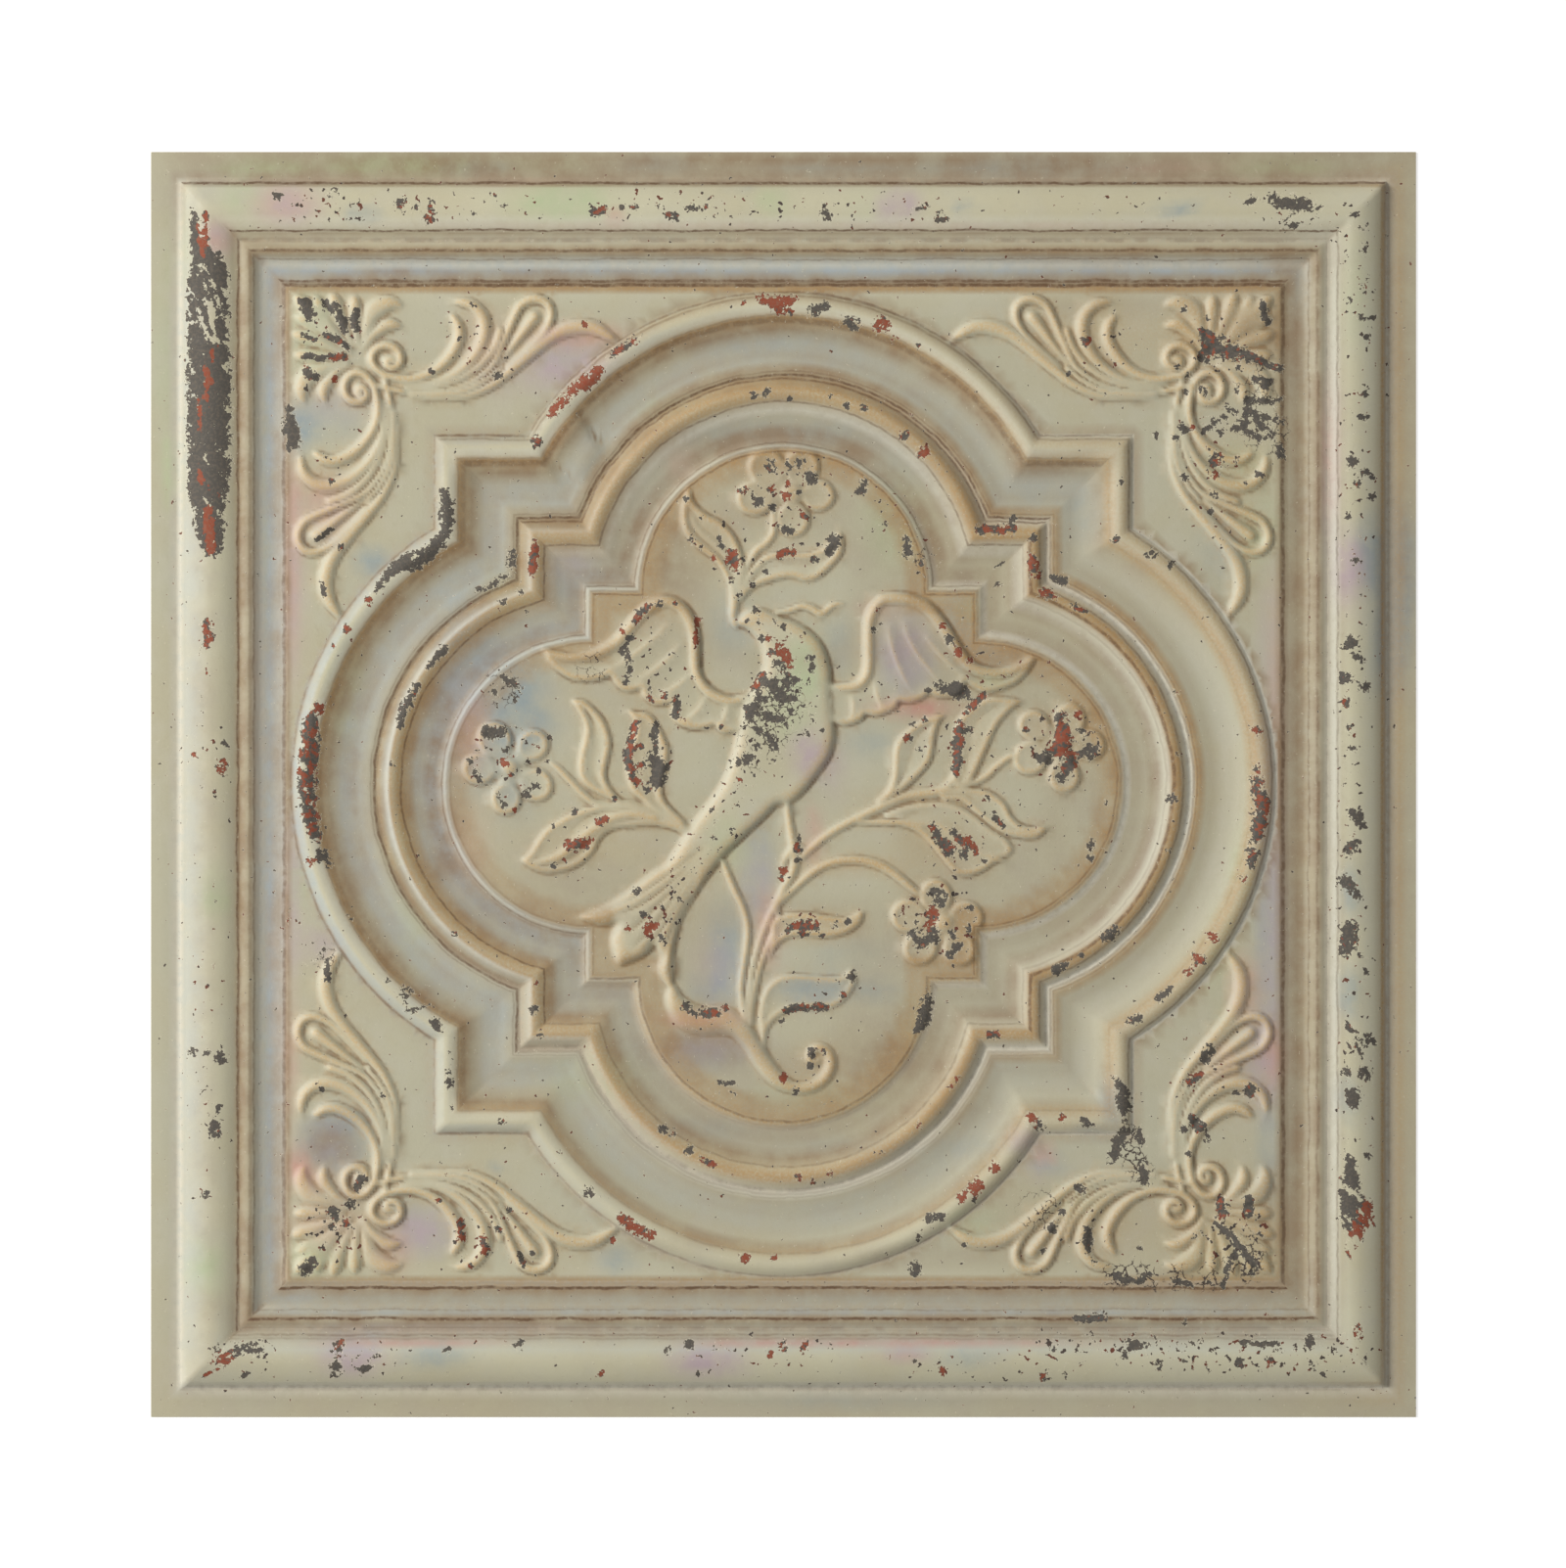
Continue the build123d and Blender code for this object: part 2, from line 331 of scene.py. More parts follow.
def sample_map(values, x, y, reach=REACH, step=GRID):
    """Bilinear reading of a square map."""
    n = values.shape[0]
    u = np.clip((np.asarray(x) + reach) / step, 0, n - 1.001)
    v = np.clip((np.asarray(y) + reach) / step, 0, n - 1.001)
    i = u.astype(int)
    j = v.astype(int)
    fu = u - i
    fv = v - j
    low = values[j, i] * (1 - fu) + values[j, i + 1] * fu
    high = values[j + 1, i] * (1 - fu) + values[j + 1, i + 1] * fu
    return low * (1 - fv) + high * fv


# Leaf scrolls of the upper left corner, above its diagonal. The other half and the other corners mirror them.
# Each row is a curve: x, y and half width, one point after the other.
VOLUTE = (
    -168, 191.6, 1.5, -175, 190.7, 1.8, -181.5, 190.9, 2, -187.5, 192.6, 2, -192, 196.2, 1.9,
    -193.4, 200.6, 1.9, -191.2, 204.4, 1.9, -187, 206.2, 1.9, -182.6, 205.2, 2, -179.9, 201.8, 2.1,
    -180.2, 197.8, 2.2, -183.2, 195.6, 2, -186.2, 196.8, 1.7, -186.6, 199.4, 1.5, -184.8, 200.2, 1.3,
)
CORNER_RIDGES = [
    (-186, 192, 1, -177, 190.3, 2, -169.5, 191.6, 2.3, -162.5, 195.2, 2.6, -156.2, 201.6, 3,
     -152.4, 209.2, 2.9, -152.6, 215.2, 2.6, -155.2, 219.6, 1.4),
    (-180, 188.2, 0.9, -168, 188.3, 1.6, -158.5, 190.6, 2.2, -149.8, 196, 2.8, -143.4, 203.6, 3.3,
     -140.4, 211.8, 3.4, -141.2, 219.4, 3.2, -145.4, 224.6, 2.8, -150.4, 226.4, 2, -154.4, 226.6, 0.8),
    (-178, 186.3, 0.7, -164, 186.9, 1.3, -153.2, 189.8, 1.7, -144.2, 195.2, 2.1, -138.2, 201.6, 2.2,
     -134.8, 207.6, 2.1, -133, 213.4, 1.5),
    (-177, 184.8, 0.6, -161, 185, 1.1, -149.6, 187.8, 1.3, -140.8, 193, 1.5, -135, 199.6, 1.6,
     -125.6, 221.2, 2, -121.6, 226.2, 2.1, -116, 228, 2.2, -110.6, 225.6, 2.2, -109, 220.4, 2,
     -111.2, 214.4, 1.7, -116.4, 208.4, 1.4, -130, 196.2, 0.9),
    (-133.4, 197.6, 0.8, -118.4, 217.4, 3, -117, 219.2, 2.6),
    (-176, 183.5, 0.6, -160, 183.3, 1.2, -149, 185.4, 1.4, -140, 190, 1.3, -133, 195.6, 0.9),
    (-175, 182.2, 0.8, -160, 181.4, 1.3, -148, 182.8, 1.8, -137, 187.6, 2.3, -128.2, 194.2, 2.6,
     -111.6, 208.2, 3.3, -103.2, 213.2, 3.7, -94.4, 215, 3.8, -86.6, 213.4, 3.2, -77.2, 207.4, 0.9),
    (-192, 187.6, 1.4, -186, 186.2, 1.4, -178, 184.4, 1),
]
# Lobes of the fan in the corner, from the base outwards
FAN_RIDGES = [
    (-204.5, 205.5, 0.8, -215.2, 219.4, 2.9, -218.2, 224.2, 2.9, -219.4, 227.8, 1.4),
    (-202.6, 206.5, 0.8, -209.2, 221.6, 2.9, -210.6, 226.2, 2.6, -211.6, 229.4, 1.2),
    (-200.4, 206.5, 0.9, -201.3, 221.2, 2.7, -201.4, 226, 2.2, -201.6, 228.6, 1),
    (-198.6, 205, 0.9, -194.6, 218.6, 3.3, -191, 223.6, 3.8, -185.8, 226, 2.9, -181.4, 225.8, 1.6,
     -179.2, 224.4, 0.6),
    (-197, 204, 0.8, -193.8, 209.6, 1.7, -189.6, 213.8, 2.5, -184.8, 216, 2.3, -179.6, 215.4, 0.7),
]
FAN_MIDDLE = (
    -203.5, 203.5, 1.2, -211, 211, 2.6, -219, 219, 3.6, -224.6, 224.6, 3.9, -228.2, 228.2, 1.6,
)
FAN_MIDDLE_CREASE = (-204, 204, 0.5, -212, 212, 0.6, -219, 219, 0.5)
FAN_CREASES = [
    (-205, 207.5, 0.5, -211.5, 216.5, 0.5, -216.5, 223.5, 0.5),
    (-198.2, 206.5, 0.6, -198.2, 214, 0.6, -197.8, 221, 0.6),
    (-193, 212, 0.5, -188.5, 218.5, 0.6, -183.5, 222.5, 0.5),
]


def corner_ornament(relief):
    """Fan, volutes and sprays of leaves, mirrored about the diagonal and into all four corners."""
    corner = Relief()
    for row in CORNER_RIDGES:
        corner.stroke(row, STANDS["spray"])
    corner.stroke(VOLUTE, STANDS["volute"])
    corner.disc(-183.9, 199.4, 2.2, STANDS["spray"], 2.0, 0)
    for row in FAN_RIDGES:
        corner.stroke(row, STANDS["fan"], round_over=0.55, widen=1.25)
    for row in FAN_CREASES:
        corner.groove(row, 0.9)
    half = corner.z
    corner.z = np.maximum(half, half[::-1, ::-1].T)
    corner.stroke(FAN_MIDDLE, STANDS["volute"], round_over=0.6)
    corner.groove(FAN_MIDDLE_CREASE, 0.8)
    for flipped in (corner.z, corner.z[:, ::-1], corner.z[::-1], corner.z[::-1, ::-1]):
        relief.z = np.maximum(relief.z, flipped)


# The bird. Outlines are (x, y), and a third value of None marks a sharp corner.
BIRD_BODY = [
    (-22.6, 75, None), (-20.8, 78.8), (-16.5, 82), (-10.1, 82.6), (-0.5, 78.5), (6.3, 76), (12.1, 72.3),
    (17.2, 67.4), (20.6, 61), (22.4, 53.4), (22.8, 44), (24.4, 26), (23.4, 17.5), (20.2, 10), (10, -3.2),
    (4, -8.4), (-3, -10), (-9.4, -16.4), (-28.4, -34.6), (-43.4, -55.6), (-50.1, -72), (-52, -98, None),
    (-57.6, -90.6), (-58.9, -86), (-57.6, -81.2), (-60.4, -75.6, None), (-65, -80.2), (-71.6, -83.6),
    (-77.6, -85.2, None), (-79.8, -80), (-80.8, -73), (-78.6, -65.6, None), (-84, -66.4), (-89.6, -65.4),
    (-96.4, -62.2, None), (-79.5, -54.4), (-61.4, -41.2), (-54.6, -36.4), (-47, -24.6), (-42, -17.3),
    (-29.4, 0.2), (-23.4, 16.6), (-20.6, 33), (-18.4, 39.6), (-11.4, 49.2), (-9.4, 55), (-9.4, 61),
    (-11.4, 66.5), (-14.6, 70.6), (-18.5, 73.6),
]
LEFT_WING = [
    (-113, 64.8, None), (-105.5, 62.4), (-97, 61.8), (-88.5, 63.6), (-81.6, 67.3), (-76.7, 71.7), (-69, 81.3),
    (-64.2, 85.7), (-59.4, 88), (-53.6, 88.4), (-47.8, 86.2), (-43, 81.3), (-40.3, 75.5), (-39.2, 68.8),
    (-38.9, 54.3), (-36.2, 48.5), (-31.4, 44.2), (-24.6, 41.4), (-15, 42), (-14, 30), (-21, 25), (-29, 24.4),
    (-32.2, 27.9, None), (-36, 26.4), (-41, 25.9), (-46.8, 27.1), (-50.8, 30.2), (-53.2, 38.2, None),
    (-58.4, 37), (-63.4, 38.8), (-66.4, 41.8), (-66.9, 45, None), (-70.9, 43.6), (-75.8, 44.4), (-79, 47.2),
    (-81.2, 50.9, None), (-86.4, 49.2), (-93.1, 48.4), (-99.9, 49.6), (-105.7, 53.1), (-110.5, 58),
]
RIGHT_WING = [
    (16, 46), (24, 47.4), (32, 47.8), (36.2, 50.4), (37.7, 56), (37.6, 74), (39.4, 82), (43, 87),
    (48.2, 89.6), (55.1, 90.2), (68.1, 86.4), (77.8, 74.9), (86.3, 61.3), (90.7, 57), (96.6, 55),
    (102.7, 54.9), (113.9, 58.2), (119.4, 61.4, None), (116.8, 55.9), (113, 50.7), (107, 46.2), (95.8, 43),
    (90, 45), (85.6, 48.2, None), (84.6, 44.6), (81.1, 41.4), (72.4, 41), (68.8, 43, None), (65.5, 40.2),
    (60.3, 38.4), (54.4, 39, None), (52.6, 35.6), (44.8, 32.4), (38.6, 33, None), (36.2, 29.8), (29.2, 27.8),
    (24, 29), (16, 34),
]
WING_RIMS = [
    (-112.5, 64, 0.6, -105, 60.6, 1.5, -96.5, 59.6, 2.2, -88, 61.2, 2.6, -80.6, 65, 2.8, -74.9, 70, 2.8,
     -66.7, 79.7, 2.8, -58, 85.2, 2.6, -53.6, 85.6, 2.5, -49.2, 83.7, 2.5, -45.5, 79.5, 2.5, -43, 74, 2.5,
     -41.9, 68.5, 2.5, -41.4, 54.5, 2.4, -38.8, 47.8, 2.3, -33.5, 42.2, 2.2, -25, 39.2, 2, -17, 40, 1.2),
    (22, 45.4, 1.2, 33.5, 46.2, 2.2, 38, 49.4, 2.3, 40.1, 56, 2.5, 40.2, 74, 2.5, 42, 80.8, 2.6,
     45, 85.2, 2.6, 49.2, 87, 2.7, 61.2, 86.2, 2.8, 71, 79.2, 3, 84.4, 59.2, 3, 89.8, 54.4, 2.8,
     96.4, 52.4, 2.6, 103, 52.4, 2.4, 109.4, 54.2, 1.9, 117, 59.6, 0.8),
]
# Edges of the lapped feathers: the side that each one rises from, then x and y along it
FEATHER_LAPS = [
    (-1, -86, 54, -76, 57.2, -60.4, 69.4, -53, 77.4), (-1, -69, 48.6, -61.4, 53.6, -54.2, 59.6, -47.4, 67.2),
    (-1, -58.6, 42, -50.9, 46, -43, 52.4), (-1, -47.6, 29.4, -42.2, 33.2, -38.4, 37.8, -36.4, 42),
    (-1, -31.2, 25.8, -28.4, 30.4, -26.6, 36.2, -26.4, 39.4), (1, 65, 72.4, 70.4, 64.6, 77, 57.4, 86.6, 49),
    (1, 55.8, 79.2, 57.8, 70.4, 62.6, 61.4, 69, 53, 75, 46.6),
    (1, 48.8, 78.2, 50, 67.8, 53, 57.6, 57, 49, 61.4, 42.6), (1, 42.6, 49, 43.8, 42, 46.4, 35),
    (1, 31.8, 42, 32.6, 36, 31.6, 30.4),
]
TAIL_GROOVES = [
    (-38, -30, 0.5, -55, -43, 0.5, -72, -54, 0.5, -88, -60.5, 0.4),
    (-40, -34, 0.5, -55, -48, 0.5, -68, -57, 0.5, -80, -61.5, 0.4),
    (-40, -37, 0.5, -64, -62, 0.5, -74, -70, 0.4),
    (-40, -40, 0.5, -51, -53, 0.5, -60, -66, 0.5, -72, -78, 0.4),
    (-40, -43, 0.5, -49, -55, 0.5, -57, -68, 0.5, -65, -77, 0.4),
    (-41, -46, 0.5, -49, -60, 0.5, -54, -72, 0.5, -57, -85, 0.4),
    (-43, -52, 0.5, -49, -66, 0.5, -54, -90, 0.4),
]
# Leaf outlines, and those of the two leaves that stand less high
LEAVES = [
    [(-44.4, 140.4, None), (-41.8, 132.6), (-36, 127), (-29.6, 123.6), (-24, 118.2), (-20.2, 111),
     (-18.6, 103.9), (-19.2, 96), (-21, 88), (-22.6, 80), (-24.4, 80.5), (-25.2, 86.3), (-25.9, 93.5),
     (-28.2, 99.2), (-32.8, 105.6), (-39.4, 110.4), (-45.2, 116), (-47.8, 123.2), (-47.4, 131.2)],
    [(26.8, 119.4, None), (21.5, 113.6), (15.9, 109.8), (8.7, 108.5), (1.5, 109.2), (-4, 108.8), (-9.2, 107),
     (-13.9, 103.1), (-17.9, 97.6), (-20.2, 91.6), (-20.4, 85.8), (-17, 89.3), (-12, 93.4), (2.3, 97.3),
     (10.3, 95.7), (16.9, 97.3), (26.6, 106.9), (28.2, 113.5)],
    [(-99.6, 39.6, None), (-94, 39.6), (-89.1, 35.8), (-84.3, 30.2), (-81.5, 23), (-81.1, 17.4), (-83.5, 5.4),
     (-81.9, -0.2), (-78, -5.6), (-73.4, -9.6), (-78, -8.6), (-90.9, -2), (-95, 2), (-96.3, 7), (-95.9, 13.4),
     (-93.5, 27)],
    [(-73.6, 35.4, None), (-69.2, 33.9), (-64.5, 33.6), (-60.3, 30.4), (-54.8, 19.8), (-54, 13.4),
     (-56.8, -1), (-55.6, -7.4), (-51.8, -12.1), (-46, -17.7), (-48, -20.4), (-55, -16), (-62.1, -11.6),
     (-66.3, -7.6), (-71.1, -3.4), (-73.2, 2.2), (-73.6, 9.4), (-72.4, 16.6), (-70, 23), (-69.8, 28.6)],
    [(-123.4, -35.6, None), (-119.2, -31.9), (-111.1, -20.6), (-95.7, -11.9), (-79.7, -9.4), (-70, -9.8),
     (-60, -13.4), (-50, -18.4), (-46, -22.6), (-58, -19.5), (-74, -19.9), (-81.5, -22), (-86.2, -26),
     (-89.5, -32.3), (-95.9, -37.9), (-103.7, -40.8), (-111.7, -41.5), (-118.2, -39.4)],
    [(76.8, 33.4, None), (69, 31.9), (61.7, 28.3), (55.7, 23.3), (52.2, 17.2), (51, 3), (48.4, -3),
     (43.6, -9), (55.9, -2.9), (67.2, 8.1), (70.2, 15), (71.2, 22.1), (73.2, 29.1)],
    [(113.4, 39.3, None), (104, 40.7), (95.6, 40.9), (89.6, 37.4), (84.6, 33.3), (81.6, 28.1), (81, 12.1),
     (79.6, 6.2), (80.4, -1), (86, -0.6), (90.2, 5), (99.2, 25), (103.2, 31), (108.1, 36)],
    [(73, -2.4), (79.9, -1.4), (89.9, -2), (97, -3.6), (104.1, -8.6), (107.1, -14.6), (111, -18.5),
     (115.9, -20), (124, -19.4, None), (122, -23.2), (116, -25.5), (103.7, -23.1), (95.7, -18.1),
     (88.7, -12.1), (83.7, -8.1), (75, -7.4)],
    [(44, -16.6), (52, -16.2), (70, -17.2), (78, -20.6), (91, -30), (98, -32.5), (106.2, -36.4, None),
     (99.9, -36.6), (94.8, -40), (88.9, -42.5), (82.7, -42.4), (78.7, -39.9), (69.7, -28.9), (63.7, -22.9),
     (56, -19.6), (46, -18.4)],
    [(-7.8, -83.3), (-5.8, -74), (-5.6, -65), (0.7, -60.9), (9.8, -60.2), (20, -61.5), (29, -62.4),
     (37.9, -58.6, None), (36.2, -65.2), (29.2, -70), (20, -71.8), (9.8, -71), (1.9, -72.2), (-3.6, -76.6)],
]
PALE_LEAVES = [
    [(47, -14.6), (58, -10), (70, -8.4), (80, -9.4), (89, -14), (97.5, -20.8), (105, -25.9),
     (108.2, -30.6, None), (104, -34.4), (96, -33), (86, -28), (74, -20), (60, -17)],
    [(-9.6, -98.2), (-5, -92.2), (3, -89.2), (21, -90.2), (27.6, -89.8), (32, -86.2, None), (34, -92.3),
     (30.4, -99.4), (23.5, -104.6), (14.3, -105.2), (4.1, -105.8), (-2.5, -109.2), (-6.8, -114), (-8.4, -121),
     (-8, -126.8), (-10.6, -120), (-11.6, -108)],
]
LEAF_VEINS = [
    (-45.2, 131, 0.7, -43.8, 123, 0.8, -39.6, 116.6, 0.8, -33, 110.8, 0.8, -27.6, 104.8, 0.8, -24.4, 97, 0.7,
     -23.4, 88, 0.6),
    (-43.2, 129, 0.6, -38, 121, 0.8, -31, 115.2, 0.9, -25.4, 109, 0.8, -22.6, 101, 0.7),
    (25.2, 112.6, 0.7, 20.4, 106.6, 0.8, 12, 103.6, 0.8, 2.4, 103.6, 0.8, -5.6, 102, 0.8, -12, 98, 0.8,
     -17, 92.6, 0.6),
    (22, 109.6, 0.6, 12, 106.2, 0.6, 2, 106.2, 0.7, -6, 104.8, 0.7, -12.6, 100.6, 0.6),
    (-93, 35.6, 0.8, -88.8, 27, 1.2, -88.2, 17, 1.6, -89.6, 7, 1.6, -86, -1, 1),
    (-60.6, 28.6, 0.8, -59.8, 19, 0.9, -60.6, 10, 1, -63, 1, 0.9, -60.6, -6, 0.8),
    (71, 29.6, 0.7, 62.8, 22, 0.9, 57.4, 6.6, 0.9, 52.6, -1, 0.7),
    (100.6, 37.4, 0.7, 92, 31, 1, 88.2, 23.6, 1.1, 87, 14.6, 1, 85.2, 6.4, 0.8),
    (-101, -23, 0.6, -92, -15.4, 0.6, -82, -11.8, 0.6),
]
FOLDED_LEAF = (
    -117, -36.6, 1.6, -106, -34.2, 3.2, -97, -27.6, 4, -89.4, -21.4, 3.8, -80.6, -16, 3.4, -72, -14, 3,
    -60, -15.6, 2.6,
)
# Stems and tendrils
STEMS = [
    (-4.6, 127, 1.6, -4.8, 118.4, 1.7, -8.2, 113.2, 1.7, -13.2, 109, 1.7, -19.6, 96.6, 1.6, -23.2, 80, 1.8,
     -23.6, 76, 1.4),
    (-22.8, 96, 1.2, -23.8, 80, 2, -22.4, 74.4, 1.4),
    (-3.2, 80.6, 1, 3.9, 82.2, 1.3, 8.7, 83.8, 1.3, 13.5, 82.6, 1.7, 18, 80.4, 1.8, 23.6, 84.4, 1.2,
     28.4, 84.8, 0.7),
    (-109.6, 10.4, 0.9, -104.6, 6.4, 1.5, -93.4, -5.4, 1.7, -87.6, -9, 1.7, -81, -9.6, 1.8, -72, -9.6, 2.2,
     -54, -16.4, 2.8, -45, -22, 2.8),
    (8.4, -34.4, 1.6, 15, -28.2, 1.9, 23, -22.2, 2, 33, -16.6, 2.1, 53, -7.4, 2.4, 62, -4.9, 2.5,
     71.6, -3.6, 2.6, 77.6, -0.6, 2.4, 80.6, 4, 1.8),
    (84, -1, 1.4, 90, 1, 1.5, 95.8, 4.4, 1.6, 101, 9.2, 1.6, 107, 13.6, 1.5),
    (35, -17.6, 1, 56, -17.9, 1.7, 65, -20, 1.6),
    (-2.6, -62.6, 1, -2.8, -57.6, 1.3, 0.4, -53.2, 1.5, 13.4, -41.4, 1.9, 22.4, -36.9, 2, 32.4, -35.4, 2,
     42.4, -36.9, 2.1, 51.4, -41.4, 2.1, 63, -51, 1.6),
    (-28.4, -36.4, 1.4, -23.4, -49, 1.8, -19.4, -57, 1.8, -17, -65.8, 1.7, -17.2, -75, 1.6, -19.8, -93, 1.6,
     -19.6, -102, 1.6, -18, -112, 1.8),
    (1.6, -8, 2.2, 2.6, -17, 1.8, 5.2, -34, 2.6, 4, -42, 1.9, -0.8, -50.5, 1.7, -9.6, -69.7, 1.6,
     -15, -88, 1.6, -17.4, -110, 1.8),
    (-3.4, -66, 1.2, -10.6, -84, 1.4, -14.6, -102, 1.6, -15.6, -112, 1.8),
    (9.4, -29.8, 1, 5.6, -30.4, 2.6, 1.8, -33.4, 1.8, -1, -39.4, 0.8),
]
LEAF_SCROLL = (
    -52.2, -95, 2, -51, -102, 4.6, -45.6, -108.4, 6.6, -37.6, -111.2, 6.6, -29, -110.8, 6.8, -21.4, -114, 5.6,
    -15.2, -121.4, 4.6, -9.4, -130.6, 4.6, -3.2, -138, 4.2, 4.2, -142.2, 3, 12.2, -142.2, 2.9,
    19, -138.4, 2.9, 22.4, -131.8, 2.8, 21.2, -126.2, 2.5, 17, -123.6, 2.3, 13, -125.2, 2, 12, -129, 1.8,
    14.2, -131.2, 1.5, 16.4, -129.6, 1.2,
)
# Flowers: x, y and radius of the button, then of each petal
FLOWERS = [
    (3.9, 136.6, 6, -7.6, 148.4, 9, 8.6, 149.2, 8.6, 16.4, 135.8, 7.6, 4.6, 124.4, 8, -13.2, 134.6, 8.6),
    (-128.4, 7.8, 4.9, -135.6, 21, 8.4, -117.6, 18.4, 7.4, -116.2, -0.2, 7.9, -130.2, -6.6, 7.4,
     -142.8, 7.4, 7.8),
    (131.3, 20, 5.4, 117.8, 27.6, 7.4, 134.6, 30.4, 7.6, 143.6, 18.4, 7.4, 131.9, 4, 7.6, 116.2, 12.6, 8.2),
    (75.6, -65, 5.2, 71.7, -52.4, 7.8, 85.6, -62.9, 8.2, 82.8, -77, 8, 64.4, -76.6, 8.2, 59, -61.8, 8.2),
]


def bird_and_blossoms(relief):
    """The bird in flight among flowering branches, on the quatrefoil's plate."""
    for row in STEMS:
        relief.stroke(row, STANDS["stem"])
    for leaves, height in ((LEAVES, STANDS["leaf"]), (PALE_LEAVES, STANDS["pale leaf"])):
        for outline in leaves:
            relief.form(outline, height, 1.4, 0.8, 2.8)
    for row in LEAF_VEINS:
        relief.groove(row, 0.9)
    relief.stroke(FOLDED_LEAF, STANDS["folded leaf"])
    for x, y, radius, *petals in FLOWERS:
        for px, py, size in points_of(petals):
            middle = ((x + px) / 2, (y + py) / 2, size * 0.62)
            relief.stroke((x, y, 2.6, *middle, px, py, size * 0.8), STANDS["petal's root"], round_over=0.4)
            turn = math.atan2(py - y, px - x)
            relief.disc(px, py, size * 1.04, STANDS["petal"], 1.5, 0.9, squash=0.94, turn=turn)
            out = Vector((px - x, py - y)).normalized() * size
            dent = (px - 0.7 * out.x, py - 0.7 * out.y, 0.8, px + 0.5 * out.x, py + 0.5 * out.y, 0.6)
            relief.groove(dent, 0.5)
        relief.disc(x, y, radius, STANDS["button"], radius * 0.9, 0)
    for outline in (LEFT_WING, RIGHT_WING):
        relief.form(outline, STANDS["wing"], 1.4, 0.7, 4.0)
    for side, *row in FEATHER_LAPS:
        relief.lap(row, side, 1.2, 2.6)
    for row in WING_RIMS:
        relief.stroke(row, STANDS["wing rim"], base=1.4, round_over=0.8)
    relief.form(BIRD_BODY, STANDS["body"], 6.0)
    for row in TAIL_GROOVES:
        relief.groove(row, 1.1, least=1.2, widen=1.6)
    relief.stroke(LEAF_SCROLL, STANDS["leaf scroll"])


def upper_left_saddle(relief):
    """The smooth web that the sheet draws between the top lobe's channel and the upper left barb."""
    web = Relief()
    web.stroke((-114, 172, 9, -104, 164, 12.5, -93, 155, 12.5, -82, 146, 9), STANDS["web"], round_over=0.6)
    web.groove(
        (-83, 190, 1.2, -91, 175, 1.5, -88.5, 164, 1.6, -77, 158.5, 1.5, -67, 166, 1.2), 1.5, least=0.1
    )
    web.groove((-113.5, 154, 1.2, -105, 148, 1.5, -97.5, 139, 1.6, -97.5, 130, 1.2), 1.4, least=0.1)
    depth = lobe_depth(*np.meshgrid(web.axis, web.axis))
    relief.z += web.z * smooth_step(depth, 9.5, 14) * (1 - smooth_step(depth, 29, 35))


